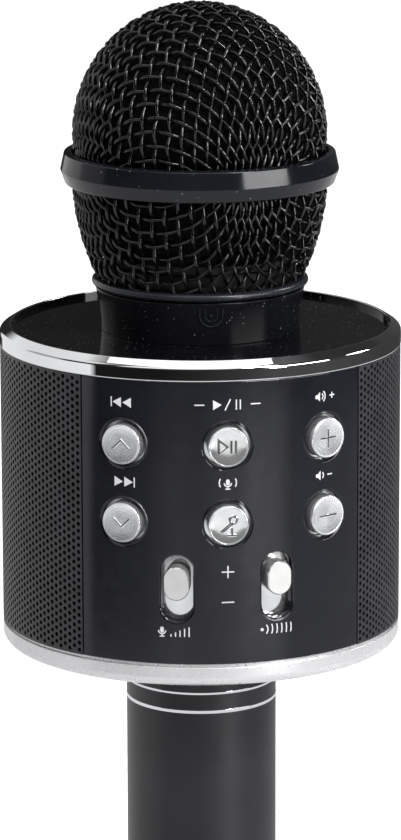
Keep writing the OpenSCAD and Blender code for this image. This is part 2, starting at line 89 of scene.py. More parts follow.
class Graph:
    """The nodes of a material or of the surroundings."""

    def __init__(self, tree: bpy.types.NodeTree) -> None:
        """Takes the tree that the nodes go into."""
        self.tree = tree

    def feed(self, node: bpy.types.Node, inputs: dict) -> None:
        """Links or sets a node's inputs.

        Args:
            node: The node.
            inputs: A socket or a value for each input, by its name or number.
        """
        for key, value in inputs.items():
            if isinstance(value, Socket):
                self.tree.links.new(value, node.inputs[key])
            else:
                node.inputs[key].default_value = value

    def node(self, kind: str, inputs: dict | None = None, **options: str) -> bpy.types.Node:
        """Makes a node.

        Args:
            kind: Its type, without the ShaderNode in front.
            inputs: A socket or a value for each input that isn't left as it is.
            options: Its other settings.

        Returns:
            The node.
        """
        made = self.tree.nodes.new("ShaderNode" + kind)
        for name, value in options.items():
            setattr(made, name, value)
        self.feed(made, inputs or {})
        return made

    def noise(self, place: Socket, size: float, detail: float = 3.0) -> Socket:
        """A noise from 0 to 1 at a place, with its size in mm."""
        inputs = {"Scale": 1 / (size * MM), "Detail": detail, "Vector": place}
        return self.node("TexNoise", inputs).outputs["Fac"]

    def moved(self, value: Socket, start: Pair, end: Pair = (0.0, 1.0)) -> Socket:
        """A value moved from one range to another, and held at the ends."""
        ends = ("From Min", "From Max", "To Min", "To Max")
        return self.node("MapRange", {"Value": value, **dict(zip(ends, start + end))}).outputs["Result"]

    def mixed(self, share: Socket, a: Socket, b: Socket | tuple) -> Socket:
        """The colour a, with a share of the colour b."""
        return self.node("Mix", {"Factor": share, "A": a, "B": b}, data_type="RGBA").outputs["Result"]

    def ramp(self, value: Socket, stops: Sequence[tuple[float, Colour]]) -> Socket:
        """Makes a colour that follows a value.

        Args:
            value: The value to follow.
            stops: Pairs of value and colour, in order.

        Returns:
            The colour's socket.
        """
        made = self.node("ValToRGB", {"Fac": value})
        band = made.color_ramp
        while len(band.elements) < len(stops):
            band.elements.new(1.0)
        for element, (at, colour) in zip(band.elements, stops):
            element.position = at
            element.color = (*colour, 1)
        return made.outputs["Color"]


class Grain(Enum):
    """How the fine pattern of a finish lies on its piece."""

    EVEN = "even"
    CELLS = "cells"
    TURNED = "turned"
    DRAWN = "drawn"
    RINGS = "rings"
    FIBRES = "fibres"


@dataclass(frozen=True)
class Finish:
    """A surface finish, with its colour, gloss and fine pattern.

    Attributes:
        slot: Name of a material slot; not used.
        low: Colour of the darker patches.
        high: Colour of the lighter patches.
        metal: 1 for bare metal, 0 for anything else.
        rough: Roughness of the smoothest and roughest spots.
        grain: How the fine pattern lies.
        pitch: Size of the fine pattern in mm.
        relief: Height of the fine pattern in mm.
        patch: Size of the colour patches in mm.
        coat: Strength of the clear coat.
        specular: Strength of the reflection of anything but bare metal.
        dust: Share of the surface under pale specks.
        glow: Strength of its own light.
        brushed: How far a highlight is drawn out across rings of brushing.
    """

    slot: str
    low: Colour
    high: Colour
    metal: float = 0.0
    rough: Pair = (0.3, 0.4)
    grain: Grain = Grain.EVEN
    pitch: float = 0.4
    relief: float = 0.01
    patch: float = 12.0
    coat: float = 0.0
    specular: float = 0.5
    dust: float = 0.0
    glow: float = 0.0
    brushed: float = 0.0

    def material(self, look: str) -> bpy.types.Material:
        """Returns the look's material, made on its first use.

        Args:
            look: The look's name.

        Returns:
            The Blender material.
        """
        name = "look_" + look
        known = bpy.data.materials.get(name)
        if known is not None:
            return known
        made = bpy.data.materials.new(name)
        made.use_nodes = True
        graph = Graph(made.node_tree)
        shader = made.node_tree.nodes["Principled BSDF"]
        graph.feed(shader, {"Metallic": self.metal, "Specular IOR Level": self.specular,
                            "Coat Weight": self.coat, "Coat Roughness": COAT_ROUGHNESS})
        if self.glow:
            graph.feed(shader, {"Emission Color": (*self.high, 1), "Emission Strength": self.glow})
        if self.brushed:
            tangent = graph.node("Tangent", direction_type="RADIAL", axis="Z").outputs["Tangent"]
            graph.feed(shader, {"Anisotropic": self.brushed, "Tangent": tangent})
        place = graph.node("TexCoord").outputs["Object"]
        fine = self.pattern(graph, place)
        colour = graph.ramp(graph.noise(place, self.patch), list(zip(PATCH_EDGES, (self.low, self.high))))
        if self.dust:
            edge = SPECK_RARE - SPECK_SPREAD * self.dust
            stops = [(edge, (0, 0, 0)), (edge + SPECK_SOFT, (1, 1, 1))]
            specks = graph.ramp(graph.noise(place, SPECK_SIZE, 0.0), stops)
            colour = graph.mixed(specks, colour, SPECK_GREY)
        rough = graph.moved(fine, FINE_RANGE, self.rough)
        bump = graph.node("Bump", {"Strength": 1.0, "Distance": self.relief * MM, "Height": fine})
        graph.feed(shader, {"Base Color": colour, "Roughness": rough, "Normal": bump.outputs["Normal"]})
        return made

    def pattern(self, graph: Graph, place: Socket) -> Socket:
        """Makes the fine pattern.

        Args:
            graph: The material's nodes.
            place: The point on the piece.

        Returns:
            A socket from 0 to 1.
        """
        if self.grain is Grain.CELLS:
            inputs = {"Scale": 1 / (self.pitch * MM), "Vector": place}
            return graph.node("TexVoronoi", inputs).outputs["Distance"]
        if self.grain is Grain.RINGS:
            split = graph.node("SeparateXYZ", {0: place}).outputs
            flat = graph.node("CombineXYZ", {"X": split["X"], "Y": split["Y"]}).outputs[0]
            reach = graph.node("VectorMath", {0: flat}, operation="LENGTH").outputs["Value"]
            line = graph.node("CombineXYZ", {"X": reach}).outputs[0]
            return graph.noise(line, self.pitch, 2.0)
        stretch = {
            Grain.EVEN: (1.0, 1.0, 1.0),
            Grain.TURNED: (0.03, 0.03, 1.0),
            Grain.DRAWN: (1.0, 1.0, 0.03),
            Grain.FIBRES: (1.0, 0.25, 0.6),
        }[self.grain]
        mapping = graph.node("Mapping", {"Scale": stretch, "Vector": place})
        return graph.noise(mapping.outputs["Vector"], self.pitch)


WIRE_ENAMEL = Finish(
    "black_wire", (0.0012, 0.0012, 0.0015), (0.0025, 0.0025, 0.003), rough=(0.09, 0.16), pitch=0.25,
    relief=0.003,
)
BALL_PLASTIC = Finish(
    "gloss_black", (0.0035, 0.004, 0.0055), (0.005, 0.0057, 0.0075), rough=(0.08, 0.14), pitch=3.5,
    relief=0.010, specular=0.38, dust=0.12,
)
COLLAR_PLASTIC = Finish(
    "gloss_black", (0.008, 0.009, 0.013), (0.012, 0.013, 0.018), rough=(0.24, 0.32), pitch=0.5,
    relief=0.004, specular=0.4,
)
NECK_PLASTIC = Finish(
    "gloss_black", (0.0035, 0.0037, 0.0045), (0.005, 0.0053, 0.0065), rough=(0.14, 0.2), pitch=2.0,
    relief=0.003, specular=0.13, dust=0.15,
)
PLATE_GLOSS = Finish(
    "gloss_black", (0.0015, 0.0015, 0.002), (0.003, 0.003, 0.004), rough=(0.03, 0.06), pitch=3.0,
    relief=0.001, dust=0.3,
)
PANEL_GLOSS = Finish(
    "gloss_black", (0.003, 0.0033, 0.0055), (0.0045, 0.005, 0.0075), rough=(0.07, 0.12), pitch=2.5,
    relief=0.0015,
)
CHROME = Finish(
    "chrome", (0.78, 0.79, 0.81), (0.86, 0.87, 0.88), metal=1.0, rough=(0.006, 0.014), pitch=1.6,
    relief=0.0005,
)
RING_SILVER = Finish(
    "chrome", (0.59, 0.59, 0.60), (0.63, 0.63, 0.64), metal=0.65, rough=(0.26, 0.32), pitch=1.6,
    relief=0.0001,
)
KEY_SILVER = Finish(
    "chrome", (0.78, 0.79, 0.81), (0.88, 0.89, 0.90), metal=0.9, rough=(0.2, 0.32), grain=Grain.RINGS,
    pitch=0.16, relief=0.004, patch=3.0, brushed=0.75,
)
# Dark chrome for the thin line along the top of each key sign: painted shade, standing in for the shadowed
# side of the raised sign.
KEY_PAINTED_SHADE = Finish(
    "chrome", (0.06, 0.06, 0.065), (0.12, 0.12, 0.125), metal=0.9, rough=(0.12, 0.2), pitch=0.2,
    relief=0.002, patch=1.0,
)
KEY_MIRROR = Finish(
    "chrome", (0.80, 0.81, 0.82), (0.88, 0.89, 0.90), metal=0.9, rough=(0.05, 0.11), grain=Grain.RINGS,
    pitch=0.3, relief=0.003, patch=3.0,
)
KNOB_SATIN = Finish(
    "chrome", (0.79, 0.79, 0.78), (0.84, 0.84, 0.83), metal=0.9, rough=(0.10, 0.16), pitch=0.12,
    relief=0.002, patch=3.0,
)
PRINT = Finish(
    "light_pipe", (0.38, 0.38, 0.39), (0.46, 0.46, 0.47), rough=(0.45, 0.6), pitch=0.1, relief=0.004,
)
POWDER_COAT = Finish(
    "powder_sheet", (0.009, 0.009, 0.011), (0.016, 0.016, 0.019), rough=(0.36, 0.5), pitch=0.14,
    relief=0.02, patch=4.0,
)
ANODISED = Finish(
    "anodised_black", (0.007, 0.007, 0.009), (0.011, 0.011, 0.014), rough=(0.34, 0.44), pitch=0.12,
    relief=0.006, patch=9.0,
)
HANDLE_GLOSS = Finish(
    "frame_plastic", (0.005, 0.005, 0.006), (0.009, 0.009, 0.011), rough=(0.2, 0.3), pitch=0.8,
    relief=0.004,
)
FRAME_PLASTIC = Finish(
    "frame_plastic", (0.010, 0.010, 0.011), (0.018, 0.018, 0.020), rough=(0.42, 0.58), pitch=0.3,
    relief=0.015,
)
FOAM = Finish(
    "foam", (0.001, 0.001, 0.001), (0.003, 0.003, 0.003), rough=(0.9, 1.0), grain=Grain.CELLS,
    pitch=0.55, relief=0.35, patch=1.2, specular=0.1,
)
RUBBER = Finish(
    "rubber_black", (0.012, 0.012, 0.012), (0.022, 0.022, 0.022), rough=(0.6, 0.75), pitch=0.35,
    relief=0.02,
)
CAPSULE_CAN = Finish(
    "capsule_can", (0.42, 0.43, 0.44), (0.55, 0.56, 0.57), metal=1.0, rough=(0.2, 0.34),
    grain=Grain.TURNED, pitch=0.25, relief=0.01,
)
NICKEL = Finish(
    "nickel_nut", (0.55, 0.55, 0.53), (0.66, 0.66, 0.63), metal=1.0, rough=(0.18, 0.32),
    grain=Grain.TURNED, pitch=0.3, relief=0.008,
)
BRASS = Finish(
    "brass_insert", (0.012, 0.011, 0.010), (0.022, 0.020, 0.017), metal=0.6, rough=(0.35, 0.5),
    grain=Grain.TURNED, pitch=0.5, relief=0.03,
)
SCREW_STEEL = Finish(
    "screw_steel", (0.36, 0.37, 0.38), (0.50, 0.51, 0.52), metal=1.0, rough=(0.22, 0.38), pitch=0.2,
    relief=0.01, patch=2.0,
)
MAGNET = Finish(
    "magnet_steel", (0.24, 0.25, 0.26), (0.36, 0.37, 0.38), metal=1.0, rough=(0.28, 0.45),
    grain=Grain.TURNED, pitch=0.4, relief=0.01, patch=6.0,
)
BASKET = Finish(
    "basket_steel", (0.05, 0.05, 0.055), (0.09, 0.09, 0.10), metal=1.0, rough=(0.4, 0.55), pitch=0.3,
    relief=0.015,
)
CONE_PAPER = Finish(
    "cone_paper", (0.010, 0.010, 0.010), (0.030, 0.029, 0.027), rough=(0.75, 0.92), grain=Grain.FIBRES,
    pitch=0.3, relief=0.05, patch=2.0,
)
BOARD = Finish(
    "board_green", (0.008, 0.06, 0.022), (0.018, 0.12, 0.05), rough=(0.25, 0.45), pitch=0.7,
    relief=0.03, patch=2.2, coat=0.3,
)
FLEX = Finish(
    "flex_amber", (0.22, 0.09, 0.012), (0.36, 0.16, 0.03), rough=(0.22, 0.36), grain=Grain.DRAWN,
    pitch=1.2, relief=0.02, patch=3.0, coat=0.3,
)
SWITCH = Finish(
    "switch_body", (0.02, 0.02, 0.022), (0.045, 0.045, 0.048), rough=(0.4, 0.55), pitch=0.25,
    relief=0.01,
)
CELL_WRAP = Finish(
    "cell_wrap", (0.02, 0.14, 0.33), (0.04, 0.22, 0.45), rough=(0.18, 0.3), grain=Grain.TURNED,
    pitch=2.5, relief=0.02, patch=9.0, coat=0.2,
)
CONTACT = Finish(
    "contact_brass", (0.60, 0.47, 0.24), (0.74, 0.62, 0.38), metal=1.0, rough=(0.2, 0.32),
    grain=Grain.TURNED, pitch=0.8, relief=0.06,
)
LEAD_RED = Finish(
    "lead_red", (0.18, 0.008, 0.008), (0.28, 0.014, 0.012), rough=(0.35, 0.5), pitch=0.5, relief=0.01,
)
SOCKET_STEEL = Finish(
    "socket_steel", (0.5, 0.5, 0.51), (0.62, 0.62, 0.63), metal=1.0, rough=(0.2, 0.35), pitch=0.2,
    relief=0.006,
)
LIGHT_PIPE = Finish(
    "light_pipe", (0.30, 0.50, 0.75), (0.45, 0.66, 0.88), rough=(0.15, 0.25), pitch=0.3, relief=0.005,
    glow=0.15,
)
FLOOR_PAPER = Finish(
    "foam", (0.90, 0.90, 0.90), (0.93, 0.93, 0.93), rough=(0.8, 0.9), pitch=2.0, relief=0.01, patch=400.0,
    specular=0.1,
)


# Mesh making

STRAIGHT = math.radians(89)
NEARLY_HALF = 0.49
LONG_SHARE = 0.15
MITRE_LIMIT = 0.4
ON_SKIN = 0.004


def rounded(corners: Sequence[tuple[float, float, float]], arc: float = 12.0) -> Loop:
    """Rounds the corners of an outline.

    Args:
        corners: Each corner as x, y and the radius of its rounding.
        arc: Largest turn between two points of a rounding, in degrees.

    Returns:
        The outline's points.
    """
    out: Loop = []
    for k, (x, y, radius) in enumerate(corners):
        here = np.array((x, y))
        back = np.array(corners[k - 1][:2]) - here
        on = np.array(corners[(k + 1) % len(corners)][:2]) - here
        back_len, on_len = np.linalg.norm(back), np.linalg.norm(on)
        half = math.acos(float(np.clip(back @ on / (back_len * on_len), -1, 1))) / 2
        if radius <= 0 or half > STRAIGHT:
            out.append((x, y))
            continue
        back, on = back / back_len, on / on_len
        reach = min(radius / math.tan(half), NEARLY_HALF * back_len, NEARLY_HALF * on_len)
        middle = here + (back + on) / np.linalg.norm(back + on) * reach / math.cos(half)
        first, last = here + back * reach - middle, here + on * reach - middle
        sweep = math.pi - 2 * half
        steps = max(2, math.ceil(math.degrees(sweep) / arc))
        for i in range(steps + 1):
            t = i / steps
            spoke = (math.sin((1 - t) * sweep) * first + math.sin(t * sweep) * last) / math.sin(sweep)
            out.append(tuple(middle + spoke))
    return out


def held(profile: Sequence[Pair], reach: float = 0.05) -> Loop:
    """Adds a point beside each end of every long straight stretch, so that it stays flat when shaded smooth.

    Args:
        profile: A closed outline.
        reach: Distance of the added points from the ends.

    Returns:
        The outline with the added points.
    """
    out: Loop = []
    for a, b in zip(profile, [*profile[1:], profile[0]]):
        out.append(a)
        share = reach / max(math.dist(a, b), reach)
        if share < LONG_SHARE:
            out += [(a[0] + (b[0] - a[0]) * t, a[1] + (b[1] - a[1]) * t) for t in (share, 1 - share)]
    return out


def on_panel(angle: float, height: float, radius: float = 0.0) -> Matrix:
    """Frame with Z out of the drum's front, Y up and X to the right.

    Args:
        angle: Angle from the front in degrees.
        height: Height in mm.
        radius: Distance of the frame's origin from the long axis in mm.

    Returns:
        The matrix in metres.
    """
    turn = Matrix.Rotation(math.radians(angle), 4, "Z")
    return turn @ Matrix.Translation((0, -radius * MM, height * MM)) @ Matrix.Rotation(math.pi / 2, 4, "X")


def wrapped(angle: np.ndarray, height: np.ndarray, radius: np.ndarray | float) -> np.ndarray:
    """Points at angles from the front, heights and radii, in mm."""
    turn = np.radians(angle)
    return np.stack([radius * np.sin(turn), -radius * np.cos(turn), height + 0 * turn], -1)


class Shape:
    """A mesh in the making, in mm."""

    def __init__(self) -> None:
        """Starts with no faces."""
        self.points: list[np.ndarray] = []
        self.faces: list[Sequence[int]] = []
        self.count = 0

    def add(self, points: np.ndarray | Sequence, faces: Iterable[Sequence[int]]) -> Shape:
        """Adds points and the faces between them.

        Args:
            points: Points in mm.
            faces: Faces, numbered from the first of these points.

        Returns:
            The shape itself.
        """
        block = np.asarray(points, float).reshape(-1, 3)
        start = self.count
        self.points.append(block)
        self.faces.extend([i + start for i in face] for face in faces)
        self.count += len(block)
        return self

    def bridge(self, loops: Sequence[np.ndarray], caps: bool = False, ring: bool = False) -> Shape:
        """Joins closed loops of the same length with quads.

        Args:
            loops: The loops, each of n points.
            caps: Closes the first and last loop with one face each.
            ring: Joins the last loop to the first.

        Returns:
            The shape itself.
        """
        n, rows = len(loops[0]), len(loops)
        faces: list[Sequence[int]] = []
        for a in range(rows if ring else rows - 1):
            b = (a + 1) % rows
            faces += [(a * n + i, a * n + (i + 1) % n, b * n + (i + 1) % n, b * n + i) for i in range(n)]
        if caps:
            faces += [tuple(range(n))[::-1], tuple((rows - 1) * n + i for i in range(n))]
        return self.add(np.concatenate(loops), faces)

    def lathe(self, profile: Sequence[Pair], steps: int = 192) -> Shape:
        """Turns a closed profile of radius and height about the long axis.

        Args:
            profile: The profile's points.
            steps: Divisions of the full turn.

        Returns:
            The shape itself.
        """
        radius, height = np.array(held(profile), float).T
        loops = [wrapped(np.full(len(radius), 360 * k / steps), height, radius) for k in range(steps)]
        return self.bridge(loops, ring=True)

    def tube(self, path: np.ndarray, normals: np.ndarray, radius: float, sides: int = 8) -> Shape:
        """Runs a round wire along a path.

        Args:
            path: Points of the path.
            normals: A direction across the path at each point.
            radius: The wire's radius.
            sides: Sides of its section.

        Returns:
            The shape itself.
        """
        along = np.gradient(path, axis=0)
        along /= np.linalg.norm(along, axis=1)[:, None]
        side = np.cross(along, normals)
        side /= np.linalg.norm(side, axis=1)[:, None]
        up = np.cross(side, along)
        loops = []
        for point, a, b in zip(path, up, side):
            turn = 2 * np.pi * np.arange(sides)[:, None] / sides
            loops.append(point + radius * (np.cos(turn) * a + np.sin(turn) * b))
        return self.bridge(loops, caps=True)

    def ridge(self, path: Sequence[Pair], width: float, foot: float, top: float, flat: float,
              lay: Lay) -> Shape:
        """Raises a ridge with sloping sides along a line on a face.

        Args:
            path: The line's points.
            width: Width at the foot.
            foot: Height of the ridge's foot.
            top: Height of its top.
            flat: Share of the width that is flat at the top.
            lay: Where the finished points go.

        Returns:
            The shape itself.
        """
        line = np.array(path, float)
        steps = np.roll(line, -1, 0) - line
        steps /= np.linalg.norm(steps, axis=1)[:, None]
        before = np.roll(steps, 1, 0)
        steps[-1], before[0] = before[-1], steps[0]
        across = np.stack([-(steps + before)[:, 1], (steps + before)[:, 0]], 1)
        across /= np.linalg.norm(across, axis=1)[:, None]
        lean = np.abs((across * np.stack([-steps[:, 1], steps[:, 0]], 1)).sum(1)).clip(MITRE_LIMIT, 1)
        across /= lean[:, None]
        section = ((-1, foot), (-flat, top), (flat, top), (1, foot))
        loops = []
        for point, aside in zip(line, across):
            ring = [(*(point + aside * share * width / 2), height) for share, height in section]
            loops.append(lay(np.array(ring)))
        return self.bridge(loops, caps=True)

    def slab(self, outline: Sequence[Pair], foot: float, top: float, bevel: float = 0.0,
             lay: Lay | None = None) -> Shape:
        """Raises a convex outline on a face.

        Args:
            outline: The outline's points.
            foot: Height of its foot.
            top: Height of its top.
            bevel: Width of the bevel round its top.
            lay: Where the finished points go, if not on a flat face.

        Returns:
            The shape itself.
        """
        line = np.array(outline, float)
        inward = line.mean(0) - line
        inner = line + inward * bevel / np.linalg.norm(inward, axis=1)[:, None]
        loops = [np.column_stack([line, np.full(len(line), z)]) for z in (foot, top - bevel)]
        if bevel:
            loops.append(np.column_stack([inner, np.full(len(line), top)]))
        if lay is not None:
            loops = [lay(ring) for ring in loops]
        return self.bridge(loops, caps=True)

    def mesh(self, name: str) -> bpy.types.Mesh:
        """Makes the mesh, in metres and with the points that meet joined.

        Args:
            name: The mesh's name.

        Returns:
            The Blender mesh.
        """
        mesh = bpy.data.meshes.new(name)
        mesh.from_pydata((np.concatenate(self.points) * MM).tolist(), [], self.faces)
        work = bmesh.new()
        work.from_mesh(mesh)
        bmesh.ops.remove_doubles(work, verts=work.verts, dist=JOIN_REACH)
        bmesh.ops.recalc_face_normals(work, faces=work.faces)
        work.to_mesh(mesh)
        work.free()
        return mesh

    def make(self, name: str, finish: Finish, look: str, body: str, stands_for: Sequence[str] = (),
             place: Matrix | None = None, sharp: float = 35.0) -> bpy.types.Object:
        """Makes the piece and lets it ride on its body.

        Args:
            name: The piece's name.
            finish: Its finish.
            look: The name of the finish's material.
            body: The body that it rides on.
            stands_for: CAD nodes that it replaces.
            place: Its own frame, where it isn't the row frame.
            sharp: Edges that turn by more than this many degrees stay sharp.

        Returns:
            The Blender object.
        """
        mesh = self.mesh(name)
        mesh.shade_smooth()
        mesh.set_sharp_from_angle(angle=math.radians(sharp))
        mesh.materials.append(finish.material(look))
        piece = in_scene(name, mesh)
        if place is not None:
            piece.matrix_world = place
        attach(piece, body)
        if stands_for:
            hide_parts(*stands_for)
        LOG.info("%s: %d faces on %s", name, len(mesh.polygons), body)
        return piece


def in_scene(name: str, data: bpy.types.ID) -> bpy.types.Object:
    """Makes an object of a mesh, light or camera in the scene.

    Args:
        name: The object's name.
        data: What it shows.

    Returns:
        The Blender object.
    """
    made = bpy.data.objects.new(name, data)
    bpy.context.scene.collection.objects.link(made)
    return made


def round_normals(piece: bpy.types.Object, radius: float) -> None:
    """Points the normals of a skin's faces straight out from the long axis.

    Args:
        piece: The piece that has the skin.
        radius: The skin's radius in mm.
    """
    mesh = piece.data
    points = np.zeros(len(mesh.vertices) * 3)
    mesh.vertices.foreach_get("co", points)
    points = points.reshape(-1, 3)
    on_skin = np.abs(np.hypot(points[:, 0], points[:, 1]) / MM - radius) < ON_SKIN
    corners = np.zeros(len(mesh.loops), np.int64)
    mesh.loops.foreach_get("vertex_index", corners)
    normals = np.zeros(len(mesh.loops) * 3, np.float32)
    mesh.corner_normals.foreach_get("vector", normals)
    normals = normals.reshape(-1, 3)
    starts = np.zeros(len(mesh.polygons), np.int64)
    sizes = np.zeros(len(mesh.polygons), np.int64)
    mesh.polygons.foreach_get("loop_start", starts)
    mesh.polygons.foreach_get("loop_total", sizes)
    face_on = np.minimum.reduceat(on_skin[corners], starts)
    chosen = np.repeat(face_on, sizes)
    out = points[corners[chosen]].astype(np.float32)
    out[:, 2] = 0
    normals[chosen] = out / np.linalg.norm(out, axis=1)[:, None]
    mesh.normals_split_custom_set(normals.tolist())


@dataclass(frozen=True)
class Span:
    """Heights and radius of a round CAD node, in mm."""

    low: float
    high: float
    radius: float

    @classmethod
    def of(cls, node: str) -> Span:
        """Reads the node's box."""
        low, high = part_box(node)
        return cls(low.z / MM, high.z / MM, high.x / MM)


# Ball

KNOT_TRIES = 12
KNOT_NUDGE = 1e-4
KNOT_FLAT = 1e-6
KNOT_STRIDE = 0.8
KNOT_MISS = 0.05
WIRE_SPACE = 0.02
SHORTEST_RUN = 3
LINE_STEPS = 300


@dataclass
class WireCloth:
    """Plain-woven wire drawn over a turned form, so that each mesh keeps its length.

    Attributes:
        line: Radius and height of the cloth's middle, from its pole outwards.
        low: Height at which it is cut off below.
        high: Height at which it is cut off above.
        azimuth: Angle of the wire that runs through the pole.
        mesh: Distance between wires.
        wire: Radius of a wire.
        wander: How far a crossing strays from its place.
        seed: Seed of that straying.
        steps: Points of a wire between two crossings.
        arc: Length of the line up to each of its points.
    """

    line: np.ndarray
    low: float
    high: float
    azimuth: float
    mesh: float = 2.8
    wire: float = 0.36
    wander: float = 0.07
    seed: int = 11
    steps: int = 6
    arc: np.ndarray = field(init=False)

    def __post_init__(self) -> None:
        """Measures the form's line."""
        self.arc = np.concatenate([[0], np.cumsum(np.linalg.norm(np.diff(self.line, axis=0), axis=1))])

    def point(self, arc: float, turn: float) -> np.ndarray:
        """The point that lies an arc from the pole, at an angle in radians."""
        radius, height = (np.interp(arc, self.arc, column) for column in self.line.T)
        return np.array([radius * math.cos(turn), radius * math.sin(turn), height])

    def knot(self, a: np.ndarray, b: np.ndarray, opposite: np.ndarray) -> Pair | None:
        """Finds the fourth corner of a mesh.

        Args:
            a: A corner beside it.
            b: The other corner beside it.
            opposite: The corner across from it.

        Returns:
            Its arc and angle, or None where the form has run out.
        """
        guess = a + b - opposite
        reach = np.hypot(self.line[:, 0] - np.hypot(guess[0], guess[1]), self.line[:, 1] - guess[2])
        x = np.array([self.arc[int(np.argmin(reach))], math.atan2(guess[1], guess[0])])

        def miss(v: np.ndarray) -> np.ndarray:
            """How far both sides are from the mesh's length."""
            p = self.point(v[0], v[1])
            return np.array([np.linalg.norm(p - a), np.linalg.norm(p - b)]) - self.mesh

        for _ in range(KNOT_TRIES):
            here = miss(x)
            slope = np.column_stack([(miss(x + d) - here) / KNOT_NUDGE for d in KNOT_NUDGE * np.eye(2)])
            if abs(np.linalg.det(slope)) < KNOT_FLAT:
                return None
            x = x - np.clip(np.linalg.solve(slope, here), -KNOT_STRIDE, KNOT_STRIDE)
        if np.abs(miss(x)).max() > KNOT_MISS or x[0] >= self.arc[-1] or x[0] <= 0:
            return None
        return float(x[0]), float(x[1])

    def knots(self) -> dict[tuple[int, int], np.ndarray]:
        """Places every crossing of two wires.

        Returns:
            Points by the numbers of the two wires.
        """
        most = int(self.arc[-1] / self.mesh)
        quarter: dict[tuple[int, int], Pair] = {}
        for k in range(most + 1):
            quarter[k, 0], quarter[0, k] = (k * self.mesh, 0.0), (k * self.mesh, math.pi / 2)
        for total in range(2, 2 * most + 1):
            for i in range(1, total):
                j = total - i
                near = [quarter.get(key) for key in ((i - 1, j), (i, j - 1), (i - 1, j - 1))]
                if i > most or j > most or None in near:
                    continue
                found = self.knot(*[self.point(*q) for q in near])
                if found is not None:
                    quarter[i, j] = found
        shake = np.random.RandomState(self.seed)
        out: dict[tuple[int, int], np.ndarray] = {}
        for (i, j), (arc, turn) in sorted(quarter.items()):
            for si, sj in {(i, j), (-i, j), (i, -j), (-i, -j)}:
                p = self.point(arc, turn) * (math.copysign(1, si), math.copysign(1, sj), 1)
                out[si, sj] = p
        for key in sorted(out):
            out[key] = out[key] + shake.normal(0, self.wander, 3)
        return out

    def strands(self) -> list[tuple[np.ndarray, np.ndarray]]:
        """Weaves the wires over and under each other.

        Returns:
            Each wire's points and the form's normals there.
        """
        knots = self.knots()
        most = max(i for i, _ in knots)
        out = []
        for warp in (True, False):
            for k in range(-most, most + 1):
                keys = [(k, m) if warp else (m, k) for m in range(-most, most + 1)]
                keys = [key for key in keys if key in knots]
                if len(keys) < 2:
                    continue
                nodes = np.array([knots[key] for key in keys])
                lift = np.array([(1 if (sum(key) % 2 == 0) == warp else -1) for key in keys], float)
                out += self.lay(nodes, lift)
        return out

    def lay(self, nodes: np.ndarray, lift: np.ndarray) -> list[tuple[np.ndarray, np.ndarray]]:
        """Runs one wire through its crossings, cut off at the cloth's edge.

        Args:
            nodes: The crossings.
            lift: 1 where the wire passes over, -1 where it passes under.

        Returns:
            The wire's shown runs, each as points and normals.
        """
        ends = np.concatenate([[2 * nodes[0] - nodes[1]], nodes, [2 * nodes[-1] - nodes[-2]]])
        path, side = [], []
        for k in range(len(nodes) - 1):
            p0, p1, p2, p3 = ends[k : k + 4]
            for step in range(self.steps + (k == len(nodes) - 2)):
                t = step / self.steps
                path.append(0.5 * (2 * p1 + (p2 - p0) * t + (2 * p0 - 5 * p1 + 4 * p2 - p3) * t * t
                                   + (3 * p1 - p0 - 3 * p2 + p3) * t**3))
                side.append(lift[k] * math.cos(math.pi * t))
        line, over = np.array(path), np.array(side)
        turn = np.arctan2(line[:, 1], line[:, 0])
        flat = np.column_stack([np.hypot(line[:, 0], line[:, 1]), line[:, 2]])
        nearest = np.argmin(((flat[:, None] - self.line[None]) ** 2).sum(2), axis=1)
        slope = np.gradient(self.line, axis=0)
        normal = np.column_stack([slope[:, 1], -slope[:, 0]])
        normal /= np.linalg.norm(normal, axis=1)[:, None]
        normal *= np.sign(normal[len(normal) // 2, 0] + 1e-9)
        n = normal[nearest]
        surface = self.line[nearest] + n * (over * (self.wire + WIRE_SPACE))[:, None]
        angle = self.azimuth + np.degrees(turn)
        points = wrapped(angle, surface[:, 1], surface[:, 0])
        normals = wrapped(angle, n[:, 1], n[:, 0])
        shown = (points[:, 2] > self.low) & (points[:, 2] < self.high)
        runs, start = [], None
        for k, yes in enumerate([*shown, False]):
            if yes and start is None:
                start = k
            elif not yes and start is not None:
                if k - start > SHORTEST_RUN:
                    runs.append((points[start:k], normals[start:k]))
                start = None
        return runs

    def shape(self) -> Shape:
        """Makes the cloth as one mesh of round wires.

        Returns:
            The cloth's shape.
        """
        out = Shape()
        for path, normals in self.strands():
            out.tube(path, normals, self.wire)
        return out


